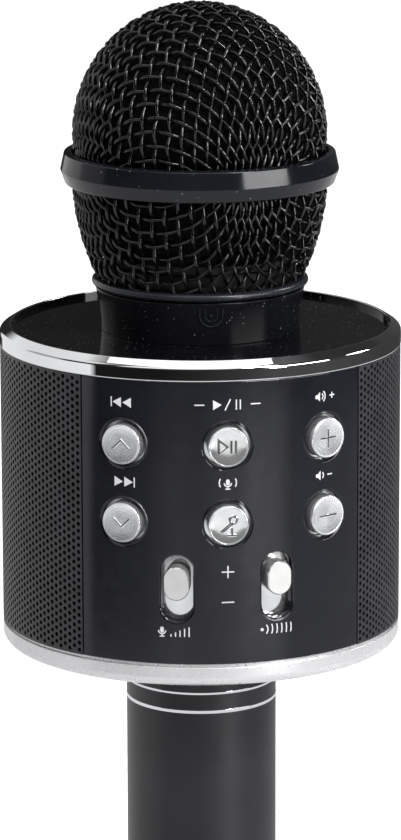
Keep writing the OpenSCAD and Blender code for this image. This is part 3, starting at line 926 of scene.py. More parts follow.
@dataclass
class WireBall:
    """The unscrewing ball: wire dome and cup, the band between them, its collar and its foam."""

    dome_rise: float = 26.6
    cup_arc: float = 49.1
    cup_arc_x: float = -23.0
    cup_arc_drop: float = 0.35
    inset: float = 0.74
    dome_azimuth: float = -28.0
    cup_azimuth: float = -30.0
    cup_pole_drop: float = 8.1
    cup_turn: float = 3.95
    band_in: float = 1.5
    band_trim: Pair = (0.2, 0.3)
    band_slope: Pair = (0.95, 0.75)
    band_play: float = 0.15
    crease: float = 0.44
    tab_half: float = 0.6
    collar_bore: float = 19.7
    collar_round: float = 0.78
    foam_gap: float = 1.75
    foam_wall: float = 3.0
    foam_cells: Pair = (-0.16, 0.12)
    foam_steps: int = 220
    foam_lap: Pair = (0.5, 3.5)
    foam_fill: float = 0.7
    cloth_lap: float = 3.0
    cup_trim: float = 0.3

    def dome_line(self, inset: float, low: float) -> np.ndarray:
        """Sets out the dome's section.

        Args:
            inset: How far inside the dome's outside.
            low: Height at which the line ends.

        Returns:
            Radius and height down the dome from its pole.
        """
        span = Span.of("grille_dome")
        middle, rise = span.high - self.dome_rise, self.dome_rise - inset
        end = math.asin(max(-0.9, (low - middle) / rise))
        t = np.linspace(math.pi / 2, end, 700)
        return np.column_stack([(span.radius - inset) * np.cos(t), middle + rise * np.sin(t)])

    def cup_radius(self, height: np.ndarray | float) -> np.ndarray | float:
        """The cup's outer radius at a height."""
        middle = Span.of("grille_cup").high - self.cup_arc_drop
        return self.cup_arc_x + np.sqrt(self.cup_arc**2 - (height - middle) ** 2)

    def cup_line(self) -> np.ndarray:
        """Sets out the cup's section, as the side of the bowl that it was pressed as.

        Returns:
            Radius and height up the bowl from its pole.
        """
        span = Span.of("grille_cup")
        foot = float(self.cup_radius(span.low)) - self.inset
        pole = span.low - self.cup_pole_drop
        t = np.linspace(0, 1, LINE_STEPS)[:, None]
        a, b, c = np.array([(0.0, pole), (foot - self.cup_turn, pole), (foot, span.low)])
        bowl = (1 - t) ** 2 * a + 2 * t * (1 - t) * b + t**2 * c
        height = np.linspace(span.low, span.high + self.cloth_lap, LINE_STEPS)[1:]
        return np.concatenate([bowl, np.column_stack([self.cup_radius(height) - self.inset, height])])

    def build(self) -> None:
        """Builds and dresses the ball's pieces."""
        dome, cup = Span.of("grille_dome"), Span.of("grille_cup")
        cloth = WireCloth(self.dome_line(self.inset, dome.low - self.cloth_lap), dome.low, dome.high,
                          self.dome_azimuth)
        cloth.shape().make("wire_dome", WIRE_ENAMEL, "wire_enamel", "ball", ["grille_dome"], sharp=60)
        cloth = WireCloth(self.cup_line(), cup.low - self.cup_trim, cup.high, self.cup_azimuth, seed=23)
        cloth.shape().make("wire_cup", WIRE_ENAMEL, "wire_enamel", "ball", ["grille_cup"], sharp=60)
        self.build_band()
        self.build_collar()
        self.build_foam()

    def build_band(self) -> None:
        """Builds the moulded band with its crease."""
        band = Span.of("grille_band")
        low, top, out = band.low + self.band_trim[0], band.high - self.band_trim[1], band.radius
        inner = Span.of("grille_dome").radius + self.band_play
        lap = inner + 0.1
        tab_low, tab_top = (low + top) / 2 - self.tab_half, (low + top) / 2 + self.tab_half
        profile = rounded([
            (lap, band.low, 0.15), (out - self.band_slope[0], low, 0.35),
            (out, low + self.crease * (top - low), 0.2), (out - self.band_slope[1], top, 0.25),
            (inner, band.high, 0.2), (inner, tab_top, 0.0), (inner - self.band_in, tab_top, 0.1),
            (inner - self.band_in, tab_low, 0.1), (lap, tab_low, 0.0),
        ], 9)
        shape = Shape().lathe(profile, 240)
        shape.make("ball_band", BALL_PLASTIC, "ball_plastic", "ball", ["grille_band"], sharp=40)

    def build_collar(self) -> None:
        """Builds the rounded ring under the wire cup."""
        collar = Span.of("grille_collar")
        profile = rounded([
            (self.collar_bore, collar.low, 0.1), (collar.radius, collar.low, self.collar_round),
            (collar.radius, collar.high, self.collar_round), (self.collar_bore, collar.high, 0.1),
        ], 12)
        shape = Shape().lathe(profile)
        shape.make("ball_collar", COLLAR_PLASTIC, "collar_plastic", "ball", ["grille_collar"])

    def build_foam(self) -> None:
        """Builds the foam that lines the ball, with its open cells."""
        cup, liner = Span.of("grille_cup"), Span.of("foam_liner")
        dome = self.dome_line(self.foam_gap, cup.high - self.foam_lap[0])[::8]
        height = np.linspace(cup.high - self.foam_lap[1], liner.low, 24)
        side = np.column_stack([self.cup_radius(height) - self.foam_gap, height])
        outside = np.concatenate([dome, side])
        shift = np.gradient(outside, axis=0)
        shift = np.column_stack([shift[:, 1], -shift[:, 0]]) / np.linalg.norm(shift, axis=1)[:, None]
        inside = outside + shift * self.foam_wall
        inside[:, 0] = inside[:, 0].clip(0)
        shake = np.random.RandomState(5)
        profile = np.concatenate([outside, inside[::-1]])
        loops = []
        for k in range(self.foam_steps):
            rough = np.concatenate([shake.uniform(*self.foam_cells, len(outside)), np.zeros(len(inside))])
            rough[[0, len(outside) - 1]] = 0
            radius = (profile[:, 0] + rough * (profile[:, 0] > 0.5)).clip(0)
            loops.append(wrapped(np.full(len(radius), 360 * k / self.foam_steps), profile[:, 1], radius))
        shape = Shape().bridge(loops, ring=True)
        foam = shape.make("foam_lining", FOAM, "open_foam", "ball", ["foam_liner"], sharp=80)


# Drum


@dataclass
class Sheet:
    """One perforated half sheet, set out flat and wrapped round the drum.

    Attributes:
        outer: Its outer radius.
        inner: Its inner radius.
        low: Height of its lower edge.
        high: Height of its upper edge.
        side: -1 for the left half, 1 for the right.
        hole: Radius of a hole.
        hole_sides: Sides of a hole, a multiple of six.
        column: Distance between columns of holes, fitted to the sheet.
        row: Distance between the holes of a column, fitted to the sheet.
        margin: Width of the plain edge.
        gap_half: Half the angle that the panel takes.
        seam_half: Half the angle of the seam at the back.
    """

    outer: float
    inner: float
    low: float
    high: float
    side: int
    hole: float = 0.45
    hole_sides: int = 12
    column: float = 1.232
    row: float = 1.426
    margin: float = 0.2
    gap_half: float = 42.9
    seam_half: float = 0.15

    def __post_init__(self) -> None:
        """Fits whole numbers of columns and rows."""
        self.per_mm = 180 / (math.pi * self.outer)
        wide = (180 - self.seam_half - self.gap_half) / self.per_mm - 2 * self.margin
        self.columns = int(wide / self.column)
        self.column = wide / self.columns
        self.rows = int((self.high - self.low) / self.row - 0.5)
        self.row = (self.high - self.low - 2 * self.margin) / (self.rows + 0.5)
        self.foot = self.low + self.margin

    def at(self, flat: np.ndarray | Loop, radius: float) -> np.ndarray:
        """Points of the flat sheet at a radius."""
        x, z = np.array(flat).T
        return wrapped(self.side * (self.gap_half + x * self.per_mm), z, radius)

    def cell_faces(self) -> list[tuple[int, ...]]:
        """Numbers the faces of one cell of the pattern, with six corners round a hole.

        Returns:
            The faces of its front and back and of the hole's wall.
        """
        n, back = self.hole_sides, 6 + self.hole_sides
        faces: list[tuple[int, ...]] = []
        for a in range(6):
            b = (a + 1) % 6
            first, second, third = (6 + (2 * a + m) % n for m in range(3))
            faces.append((a, b, third, second, first))
            faces.append((back + first, back + second, back + third, back + b, back + a))
        for k in range(n):
            i, j = 6 + k, 6 + (k + 1) % n
            faces.append((i, j, back + j, back + i))
        return faces

    def shape(self) -> Shape:
        """Makes the sheet, with a hole in every cell.

        Returns:
            The sheet's shape.
        """
        ring = 2 * np.pi * np.arange(self.hole_sides) / self.hole_sides
        w, h = self.column / 2, self.row / 2
        faces = self.cell_faces()
        shape = Shape()
        for c in range(self.columns):
            x = self.margin + (c + 0.5) * self.column
            for r in range(self.rows):
                z = self.foot + (c % 2) * self.row / 2 + (r + 0.5) * self.row
                rim = [(x + w, z), (x + w, z + h), (x - w, z + h), (x - w, z), (x - w, z - h), (x + w, z - h)]
                hole = np.column_stack([x + self.hole * np.cos(ring), z + self.hole * np.sin(ring)])
                flat = np.concatenate([rim, hole])
                shape.add(np.concatenate([self.at(flat, self.outer), self.at(flat, self.inner)]), faces)
        self.frame(shape)
        return shape

    def frame(self, shape: Shape) -> None:
        """Closes the sheet round its cells with a plain edge.

        Args:
            shape: The sheet so far.
        """
        wide, h = self.columns * self.column, self.row / 2
        for edge, rise in ((self.low, 0.0), (self.high, self.rows * self.row)):
            inside: Loop = []
            for c in range(self.columns):
                z = self.foot + (c % 2) * h + rise
                inside += [(self.margin + k * self.column, z) for k in (c, c + 1)]
            self.strip(shape, inside, [(x, edge) for x, _ in inside])
        last = ((self.columns - 1) % 2) * h
        for x, edge, lift in ((self.margin, 0.0, 0.0), (self.margin + wide, wide + 2 * self.margin, last)):
            inside = [(x, self.foot + lift + k * h) for k in range(2 * self.rows + 1)]
            inside = [(x, self.low), *inside, (x, self.high)]
            self.strip(shape, inside, [(edge, z) for _, z in inside])

    def strip(self, shape: Shape, inside: Loop, outside: Loop) -> None:
        """Joins the edge of the cells to the sheet's edge, on both faces and round the edge.

        Args:
            shape: The sheet so far.
            inside: The edge of the cells.
            outside: As many points of the sheet's edge.
        """
        lines = ((inside, self.outer), (outside, self.outer), (outside, self.inner), (inside, self.inner))
        n = len(inside)
        quads = [(a * n + i, a * n + i + 1, (a + 1) * n + i + 1, (a + 1) * n + i)
                 for a in range(3) for i in range(n - 1)]
        shape.add(np.concatenate([self.at(line, radius) for line, radius in lines]), quads)


@dataclass
class Drum:
    """The speaker drum: chrome rings, gloss plate, perforated skins and the neck on top."""

    shoulder: float = 1.25
    shoulder_in: float = 2.0
    crest_drop: float = 0.5
    lip: float = 2.4
    ring_wall: float = 4.0
    low_shoulder: float = 2.7
    low_step: float = 0.5
    low_groove: float = 1.7
    plate_bore: float = 19.05
    plate_drop: float = 0.1
    plate_rim: float = 0.35
    sheet_wall: float = 0.7
    neck_foot: float = 20.4
    neck_top: float = 21.3
    neck_low: float = 19.0
    neck_bore: float = 14.0
    neck_sunk: float = 8.0
    flare: float = 1.6
    spigot: float = 18.88
    spigot_tall: float = 5.2
    thread_deep: float = 0.25
    thread_pitch: float = 1.1
    threads: int = 4
    tongue_at: float = -1.5
    tongue_drop: float = 1.9
    tongue_rise: float = 0.9
    tongue_low: float = -0.6
    relief_foot: float = -0.1
    dot: float = 0.3
    dot_low: float = -0.7

    def build(self) -> None:
        """Builds and dresses the drum's shell."""
        self.build_rings()
        self.build_plate()
        self.build_neck()
        grille = Span.of("speaker_grille")
        halves = (("speaker_skin_left", -1, []), ("speaker_skin_right", 1, ["speaker_grille"]))
        for name, side, nodes in halves:
            sheet = Sheet(grille.radius, grille.radius - self.sheet_wall, grille.low, grille.high, side)
            piece = sheet.shape().make(name, POWDER_COAT, "powder_coat", "housing", nodes, sharp=40)
            round_normals(piece, grille.radius)

    def crest(self) -> float:
        """Height of the upper ring's crest."""
        return Span.of("top_ring").high - self.crest_drop

    def build_rings(self) -> None:
        """Builds the ring round the plate and the ring under the skins."""
        box, plate = Span.of("speaker_box"), Span.of("top_plate")
        skin, crest = Span.of("top_ring").radius, self.crest()
        lip, wall = skin - self.lip, skin - self.ring_wall
        upper = rounded([
            (wall, box.high, 0.1), (skin, box.high, 0.22), (skin, crest - self.shoulder, 0.9),
            (skin - self.shoulder_in, crest, 0.5), (lip, crest - 0.05, 0.1), (lip, plate.low, 0.0),
            (wall, plate.low, 0.0),
        ], 7)
        Shape().lathe(upper, 256).make("chrome_ring_upper", CHROME, "chrome", "housing", ["top_ring"])
        ring = Span.of("bottom_ring")
        skin, step, rim = ring.radius, box.low, ring.high
        wall = skin - self.ring_wall + 0.1
        lower = rounded([
            (wall, ring.low, 0.2), (skin, ring.low, self.low_shoulder), (skin, step, 0.2),
            (skin - self.low_step, step, 0.0), (skin - self.low_step, rim, 0.1),
            (skin - self.low_groove, rim, 0.1), (skin - self.low_groove, step, 0.0), (wall, step, 0.0),
        ], 7)
        shape = Shape().lathe(lower, 256)
        shape.make("chrome_ring_lower", RING_SILVER, "ring_silver", "housing", ["bottom_ring"])

    def build_plate(self) -> None:
        """Builds the gloss plate with its raised rim."""
        plate = Span.of("top_plate")
        out, rim = plate.radius, self.crest() - self.plate_drop
        disc = rounded([
            (self.plate_bore, plate.low, 0.0), (out, plate.low, 0.0), (out, rim, 0.0),
            (out - self.plate_rim, rim, 0.0), (out - self.plate_rim, plate.high, 0.0),
            (self.plate_bore, plate.high, 0.0),
        ])
        Shape().lathe(disc, 256).make("gloss_plate", PLATE_GLOSS, "plate_gloss", "housing", ["top_plate"])

    def build_neck(self) -> None:
        """Builds the flared neck with its thread spigot and the rounded tongue on its front."""
        foot, high = Span.of("top_plate").high, Span.of("neck").high
        top, widens, spigot = high - self.spigot_tall, self.neck_top - self.neck_foot, self.spigot
        flare = [(self.neck_foot + widens * (i / 16) ** self.flare, foot + (top - foot) * i / 16, 0.0)
                 for i in range(1, 16)]
        thread = []
        for k in range(self.threads):
            z = top + 0.6 + k * self.thread_pitch
            thread += [(spigot, z, 0.0), (spigot - self.thread_deep, z + 0.3, 0.0), (spigot, z + 0.6, 0.0)]
        sunk = foot - self.neck_sunk
        profile = rounded([
            (self.neck_low, sunk, 0.2), (self.neck_low, foot, 0.0), (self.neck_foot, foot, 0.12), *flare,
            (self.neck_top, top, 0.25), (spigot, top, 0.15), *thread, (spigot, high, 0.2),
            (self.neck_bore, high, 0.2), (self.neck_bore, sunk, 0.2),
        ], 10)
        shape = Shape().lathe(profile, 224)
        shape.make("neck_shell", NECK_PLASTIC, "neck_plastic", "housing", ["neck"], sharp=30)

        def lay(ring: np.ndarray) -> np.ndarray:
            """Wraps points round the neck's flare.

            Args:
                ring: Points across, up and out from the tongue's middle.

            Returns:
                The points in the row frame.
            """
            height = top - self.tongue_drop + ring[:, 1]
            share = ((height - foot) / (top - foot)).clip(0, 1)
            radius = self.neck_foot + widens * share**self.flare + ring[:, 2]
            return wrapped(self.tongue_at + np.degrees(ring[:, 0] / radius), height, radius)

        shape = Shape()
        for half, step, width, rise in ((2.35, 10, 0.42, 0.2), (1.25, 15, 0.34, 0.16)):
            turns = np.radians(np.arange(-step, -180, -step))
            line = [(half, self.tongue_rise), (half, self.tongue_low)]
            line += [(half * math.cos(t), self.tongue_low + half * math.sin(t)) for t in turns]
            line += [(-half, self.tongue_low), (-half, self.tongue_rise)]
            shape.ridge(line, width, self.relief_foot, rise, 0.35, lay)
        turns = np.radians(np.arange(0, 360, 30))
        dot = [(self.dot * math.cos(t), self.dot_low + self.dot * math.sin(t)) for t in turns]
        shape.slab(dot, self.relief_foot, 0.2, 0.1, lay)
        shape.make("neck_tongue", COLLAR_PLASTIC, "collar_plastic", "housing", sharp=30)


# Key panel

FILL_START = 0.9
FILL_END = 0.5
FILL_STEP: Pair = (1.1, 1.5)
FILL_CLEAR: Pair = (0.35, 0.3)


class Mark(Enum):
    """The plain picture signs on the panel and keys."""

    BACK = "back"
    ON = "on"
    PLAY = "play"
    VOICE = "voice"
    LOUDER = "louder"
    SOFTER = "softer"
    VOICE_LEVEL = "voice level"
    ECHO = "echo"
    PLUS = "plus"
    MINUS = "minus"


def arc(x: float, y: float, radius: float, first: float, last: float, steps: int = 10) -> Loop:
    """Points along an arc, with its angles in degrees."""
    return [(x + radius * math.cos(math.radians(t)), y + radius * math.sin(math.radians(t)))
            for t in np.linspace(first, last, steps)]


@dataclass
class Sign:
    """A sign made of lines and filled shapes, each in mm about its own middle."""

    lines: list[Loop] = field(default_factory=list)
    fills: list[Loop] = field(default_factory=list)

    def shifted(self, dx: float) -> Sign:
        """The sign moved sideways."""
        return Sign([[(x + dx, y) for x, y in line] for line in self.lines],
                    [[(x + dx, y) for x, y in line] for line in self.fills])

    def __add__(self, other: Sign) -> Sign:
        """Both signs together."""
        return Sign(self.lines + other.lines, self.fills + other.fills)


def printed_sign(mark: Mark) -> Sign:
    """Draws a panel sign.

    Args:
        mark: Which sign.

    Returns:
        Its lines and filled shapes.
    """
    voice = Sign([arc(0, 0.25, 0.72, 180, 360), [(0, -0.47), (0, -0.95)], [(-0.5, -0.97), (0.5, -0.97)]],
                 [arc(0, 0.62, 0.38, 0, 180, 7) + arc(0, 0.15, 0.38, 180, 360, 7)])
    horn = Sign([], [[(-1.0, -0.35), (-0.5, -0.35), (-0.5, 0.35), (-1.0, 0.35)],
                     [(-0.55, -0.35), (0.1, -0.95), (0.1, 0.95), (-0.55, 0.35)]])
    plus = Sign([[(-0.62, 0), (0.62, 0)], [(0, -0.62), (0, 0.62)]])
    bars = ((-1.2, 0.5), (-0.3, 0.9), (0.6, 1.3), (1.5, 1.7), (2.4, 2.0))
    echoes = [(r, math.degrees(1 / r)) for r in (1.4, 2.4, 3.4, 4.4, 5.4, 6.4)]
    signs = {
        Mark.BACK: Sign([[(-2.4, -1), (-2.4, 1)]],
                        [[(-2.1, 0), (-0.3, -1), (-0.3, 1)], [(0.0, 0), (1.8, -1), (1.8, 1)]]),
        Mark.ON: Sign([[(2.4, -1), (2.4, 1)]],
                      [[(2.1, 0), (0.3, 1), (0.3, -1)], [(0.0, 0), (-1.8, 1), (-1.8, -1)]]),
        Mark.PLAY: Sign([[(-0.55, -1.1), (0.55, 1.1)], [(1.7, -1), (1.7, 1)], [(2.5, -1), (2.5, 1)],
                         [(-6.6, 0), (-4.6, 0)], [(4.6, 0), (6.6, 0)]],
                        [[(-2.9, -1), (-1.2, 0), (-2.9, 1)]]),
        Mark.VOICE: voice + Sign([arc(0, 0.3, 1.7, 150, 210, 6), arc(0, 0.3, 1.7, -30, 30, 6)]),
        Mark.LOUDER: horn.shifted(-1.4) + plus.shifted(1.7)
        + Sign([arc(-1.3, 0, 0.75, -50, 50, 7), arc(-1.3, 0, 1.3, -50, 50, 8)]),
        Mark.SOFTER: horn.shifted(-1.2) + Sign([arc(-1.1, 0, 0.75, -50, 50, 7), [(0.6, 0), (1.8, 0)]]),
        Mark.VOICE_LEVEL: voice.shifted(-3.0) + Sign([[(x, -1), (x, -1 + tall)] for x, tall in bars]),
        Mark.ECHO: Sign([arc(-3.4, 0, r, -turn, turn, 9) for r, turn in echoes],
                        [arc(-3.2, 0, 0.35, 0, 330, 8)]),
        Mark.PLUS: Sign([[(-1.25, 0), (1.25, 0)], [(0, -1.25), (0, 1.25)]]),
        Mark.MINUS: Sign([[(-1.25, 0), (1.25, 0)]]),
    }
    return signs[mark]


def key_sign(mark: Mark) -> Sign:
    """Draws the raised sign on a key's face.

    Args:
        mark: Which sign.

    Returns:
        Its lines.
    """
    signs = {
        Mark.BACK: Sign([[(-1.75, -0.85), (0, 0.85), (1.75, -0.85)]]),
        Mark.ON: Sign([[(-1.75, 0.85), (0, -0.85), (1.75, 0.85)]]),
        Mark.PLAY: Sign([[(-1.9, -1.3), (-0.2, 0), (-1.9, 1.3), (-1.9, -1.3)], [(0.6, -1.25), (0.6, 1.25)],
                         [(1.5, -1.25), (1.5, 1.25)]]),
        Mark.VOICE: Sign([arc(0.95, 1.05, 0.75, -200, 160, 15), [(0.4, 0.45), (-1.5, -1.1)],
                          [(0.75, 0.2), (-1.25, -1.35)], [(-1.5, -1.1), (-1.25, -1.35)],
                          [(-0.2, -2.0), (1.6, -2.0)], [(0.7, -0.6), (0.7, -2.0)]]),
        Mark.PLUS: Sign([[(-1.85, 0), (1.85, 0)], [(0, -1.85), (0, 1.85)]]),
        Mark.MINUS: Sign([[(-2.1, 0), (2.1, 0)]]),
    }
    return signs[mark]


def stadium(radius: float, reach: float, step: float) -> Outline:
    """Sets out an upright outline with round ends.

    Args:
        radius: Radius of its ends.
        reach: Distance of their middles from the origin.
        step: Degrees between two points of an end.

    Returns:
        The points across and up.
    """
    turn = np.radians(np.arange(0, 181, step))
    x, y = radius * np.cos(turn), reach + radius * np.sin(turn)
    return np.concatenate([x, -x]), np.concatenate([y, -y])


@dataclass
class KeyPanel:
    """The curved gloss panel with its keys, slide knobs and signs."""

    half: float = 42.5
    thick: float = 2.0
    rolled: float = 0.22
    hole: float = 4.6
    key: float = 4.05
    key_edge: float = 0.42
    key_flange: float = 0.85
    pitch: float = 29.5
    slot_angle: float = 14.2
    slot_w: float = 6.3
    slot_len: float = 13.5
    knob_w: float = 5.1
    knob_len: float = 6.9
    knob_proud: float = 1.4
    knob_deep: float = 3.6
    skirt_gap: float = 0.55
    skirt_half: float = 3.8
    skirt_wall: float = 1.0
    dish: float = 0.09
    bow: float = 0.22
    line: float = 0.27
    sign_foot: float = -0.04
    sign_top: float = 0.025
    first_rise: float = 8.3
    second_rise: float = 8.1
    level_drop: float = 8.8
    plus_rise: float = 3.4
    minus_drop: float = 2.8

    def build(self) -> None:
        """Builds and dresses the panel and everything on it."""
        span = Span.of("front_panel")
        low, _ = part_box("front_panel")
        skin = -low.y / MM
        self.build_panel(skin, span.low, span.high)
        silver, mirror = (KEY_SILVER, "key_silver"), (KEY_MIRROR, "key_mirror")
        for node, column, mark, looks in (
            ("previous_key", -1, Mark.BACK, silver), ("next_key", -1, Mark.ON, silver),
            ("play_key", 0, Mark.PLAY, mirror), ("mic_key", 0, Mark.VOICE, mirror),
            ("volume_up_key", 1, Mark.PLUS, silver), ("volume_down_key", 1, Mark.MINUS, silver),
        ):
            self.build_key(node, column * self.pitch, mark, *looks)
        self.build_knob("mic_volume_knob", -self.slot_angle, skin)
        self.build_knob("effect_knob", self.slot_angle, skin)
        self.build_signs(skin)

    def height(self, node: str) -> float:
        """Height of a node's middle."""
        low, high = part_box(node)
        return (low.z + high.z) / 2 / MM

    def slot_height(self) -> float:
        """Height of the slots' middle, which the slide controls are centred on."""
        return self.height("slide_controls")

    def ring(self, at: float, height: float, grow: float, radius: float) -> Outline:
        """Outline of a key's hole at a depth.

        Args:
            at: The key's angle.
            height: The key's height.
            grow: How much wider than the hole.
            radius: Distance from the long axis.

        Returns:
            Angles and heights.
        """
        turn = np.radians(np.arange(0, 360, 5))
        r = self.hole + grow
        return at + np.degrees(np.arcsin(r * np.cos(turn) / radius)), height + r * np.sin(turn)

    def slot(self, at: float, height: float, grow: float, radius: float) -> Outline:
        """Outline of a knob's slot at a depth, with the same arguments as ring."""
        x, z = stadium(self.slot_w / 2 + grow, (self.slot_len - self.slot_w) / 2, 7.5)
        return at + np.degrees(np.arcsin(x / radius)), height + z

    def edge(self, inset: float, low: float, high: float, radius: float) -> Outline:
        """Outline of the panel at a depth.

        Args:
            inset: How far inside the panel's edge.
            low: Height of the lower edge.
            high: Height of the upper edge.
            radius: Distance from the long axis.

        Returns:
            Angles and heights.
        """
        side = self.half - math.degrees(inset / radius)
        across, up = np.linspace(-side, side, 61), np.linspace(low + inset, high - inset, 41)
        angle = np.concatenate([across[:-1], np.full(40, side), across[:0:-1], np.full(40, -side)])
        height = np.concatenate([np.full(60, low + inset), up[:-1], np.full(60, high - inset), up[:0:-1]])
        return angle, height

    def build_panel(self, skin: float, low: float, high: float) -> None:
        """Builds the panel with rolled edges round its holes and slots.

        Args:
            skin: Its outer radius.
            low: Height of its lower edge.
            high: Height of its upper edge.
        """
        back = skin - self.thick
        rows = [self.height("play_key"), self.height("mic_key")]
        cuts = [(self.ring, a * self.pitch, z) for a in (-1, 0, 1) for z in rows]
        cuts += [(self.slot, s * self.slot_angle, self.slot_height()) for s in (-1, 1)]
        depths = {
            self.ring: [(0.62, 0.0), (0.55, 0.03), (0.30, 0.16), (0.12, 0.26), (0.03, 0.36), (0.0, 0.5)],
            self.slot: [(0.50, 0.0), (0.34, 0.03), (0.18, 0.11), (0.06, 0.26), (0.0, 0.45)],
        }
        rolled = ((self.rolled, 0.0), (0.1, 0.03), (0.03, 0.1), (0.0, self.rolled), (0.0, self.thick))
        shape = Shape()
        front = [self.edge(self.rolled, low, high, skin)]
        rear = [self.edge(0.0, low, high, back)]
        shape.bridge([wrapped(*self.edge(inset, low, high, skin - d), skin - d) for inset, d in rolled])
        for outline, angle, height in cuts:
            levels = [*depths[outline], (0.0, self.thick)]
            shape.bridge([wrapped(*outline(angle, height, g, skin - d), skin - d) for g, d in levels])
            front.append(outline(angle, height, levels[0][0], skin))
            rear.append(outline(angle, height, 0.0, back))
        self.fill(shape, front, skin)
        self.fill(shape, rear, back)
        piece = shape.make("key_panel", PANEL_GLOSS, "panel_gloss", "housing", ["front_panel"], sharp=40)
        round_normals(piece, skin)

    @staticmethod
    def fill(shape: Shape, loops: list[Outline], radius: float) -> None:
        """Fills a curved face between its outer loop and the loops of its holes.

        Args:
            shape: The shape that gets the face.
            loops: Angles and heights, the outer loop first.
            radius: The face's radius.
        """
        per_degree = math.pi * radius / 180
        flats = [np.column_stack([a * per_degree, z]) for a, z in loops]
        points, edges = [], []
        for flat in flats:
            start, n = len(points), len(flat)
            points += [Vector(p) for p in flat.tolist()]
            edges += [(start + i, start + (i + 1) % n) for i in range(n)]
        (left, foot), (right, top) = flats[0].min(0) + FILL_START, flats[0].max(0) - FILL_END
        xs, zs = np.arange(left, right, FILL_STEP[0]), np.arange(foot, top, FILL_STEP[1])
        everything = np.concatenate(flats)
        middles = [(flat.mean(0), flat.max(0) - flat.mean(0)) for flat in flats[1:]]

        def inside(p: np.ndarray, grow: float) -> bool:
            """True if p lies in one of the holes."""
            for middle, reach in middles:
                x, y = abs(p - middle)
                y = max(0.0, y - (reach[1] - reach[0]))
                if math.hypot(x, y) < reach[0] + grow:
                    return True
            return False

        for p in (np.array((x, z)) for x in xs for z in zs):
            if not inside(p, FILL_CLEAR[0]) and np.hypot(*(everything - p).T).min() > FILL_CLEAR[1]:
                points.append(Vector(p))
        verts, _, faces, *_ = delaunay_2d_cdt(points, edges, [], 1, 1e-6)
        flat = np.array([tuple(v) for v in verts])
        kept = [f for f in faces if not inside(flat[list(f)].mean(0), -0.02)]
        shape.add(wrapped(flat[:, 0] / per_degree, flat[:, 1], radius), kept)

    def build_key(self, node: str, angle: float, mark: Mark, finish: Finish, look: str) -> None:
        """Builds a round key with a rim, a crowned face and its raised sign, with a dark line painted along
        the sign as its shade.

        Args:
            node: The CAD node and body of the key.
            angle: Its angle.
            mark: The sign on it.
            finish: Its finish.
            look: The finish's material.
        """
        low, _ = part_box("play_key")
        face = -low.y / MM
        rim, flange = self.key - self.key_edge, self.key + self.key_flange
        crown = [(rim * t, self.dish * (t**4 - 1) - 0.05) for t in np.linspace(0, 1, 15)]
        outside = rounded([
            (self.key - 0.34, -0.08, 0.06), (self.key - 0.12, -0.04, 0.1), (self.key, -0.3, 0.12),
            (self.key, -3.5, 0.0), (flange, -3.5, 0.05), (flange, -4.0, 0.05), (1.5, -4.0, 0.0),
            (1.5, -5.7, 0.1), (0.0, -5.7, 0.0),
        ], 14)
        radii, heights = np.array(crown).T

        def lay(ring: np.ndarray) -> np.ndarray:
            """Sets points on the crowned face.

            Args:
                ring: Points over a flat face.

            Returns:
                The points over the crown.
            """
            out = ring.copy()
            out[:, 2] += np.interp(np.hypot(ring[:, 0], ring[:, 1]), radii, heights)
            return out

        cap, sunk = Shape().lathe(crown + outside, 96), Shape()
        for path in key_sign(mark).lines:
            cap.ridge(finely(path, 0.3), 0.8, -0.08, 0.12, 0.35, lay)
            # A thin dark line along each stroke: painted shade for the raised sign's shadowed side.
            sunk.ridge(finely(path, 0.3), 0.36, 0.06, 0.19, 0.4, lay)
        place = on_panel(angle, self.height(node), face)
        cap.make(node + "_cap", finish, look, node, [node], place, sharp=28)
        sunk.make(node + "_painted_shade", KEY_PAINTED_SHADE, "key_painted_shade", node, place=place, sharp=28)

    def build_knob(self, node: str, angle: float, skin: float) -> None:
        """Builds a slide knob with a bevelled button on its curved skirt.

        Args:
            node: The CAD node and body of the knob.
            angle: Its angle.
            skin: The panel's outer radius.
        """
        bottom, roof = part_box(node)
        half_len = (roof.z - bottom.z) / 2 / MM
        place = on_panel(angle, self.height(node))
        out = skin - self.thick - self.skirt_gap
        half = math.asin(self.skirt_half / out)
        turns = np.linspace(-half, half, 25)
        loops = []
        for z in half_len * np.linspace(-1, 1, 25):
            front = out - self.bow * (z / half_len) ** 2
            sweep = [(front, t) for t in turns] + [(out - self.skirt_wall, t) for t in turns[::-1]]
            loops.append(np.array([(r * math.sin(t), z, r * math.cos(t)) for r, t in sweep]))
        skirt = Shape().bridge(loops, caps=True)
        skirt.make(node + "_skirt", KEY_MIRROR, "key_mirror", node, place=place, sharp=30)
        button = []
        for grow, depth in ((0.0, self.knob_deep), (0.0, 0.34), (-0.06, 0.2), (-0.22, 0.0)):
            x, y = stadium(self.knob_w / 2 + grow, (self.knob_len - self.knob_w) / 2, 9)
            button.append(np.column_stack([x, y, np.full(len(x), skin + self.knob_proud - depth)]))
        shape = Shape().bridge(button, caps=True)
        shape.slab([(-0.6, -1), (0.6, -1), (0.6, 1), (-0.6, 1)], out - 2.2, out - 0.5)
        shape.make(node + "_cap", KNOB_SATIN, "knob_satin", node, [node], place, sharp=30)

    def build_signs(self, skin: float) -> None:
        """Prints the plain signs on the panel.

        Args:
            skin: The panel's outer radius.
        """
        slots = self.slot_height()
        first, second = self.height("play_key") + self.first_rise, self.height("mic_key") + self.second_rise
        rows = (
            (Mark.BACK, -self.pitch, first), (Mark.PLAY, 0.0, first), (Mark.LOUDER, self.pitch, first),
            (Mark.ON, -self.pitch, second), (Mark.VOICE, 0.0, second), (Mark.SOFTER, self.pitch, second),
            (Mark.VOICE_LEVEL, -self.slot_angle, slots - self.level_drop),
            (Mark.ECHO, self.slot_angle, slots - self.level_drop),
            (Mark.PLUS, 0.0, slots + self.plus_rise), (Mark.MINUS, 0.0, slots - self.minus_drop),
        )
        shape = Shape()
        for mark, angle, height in rows:

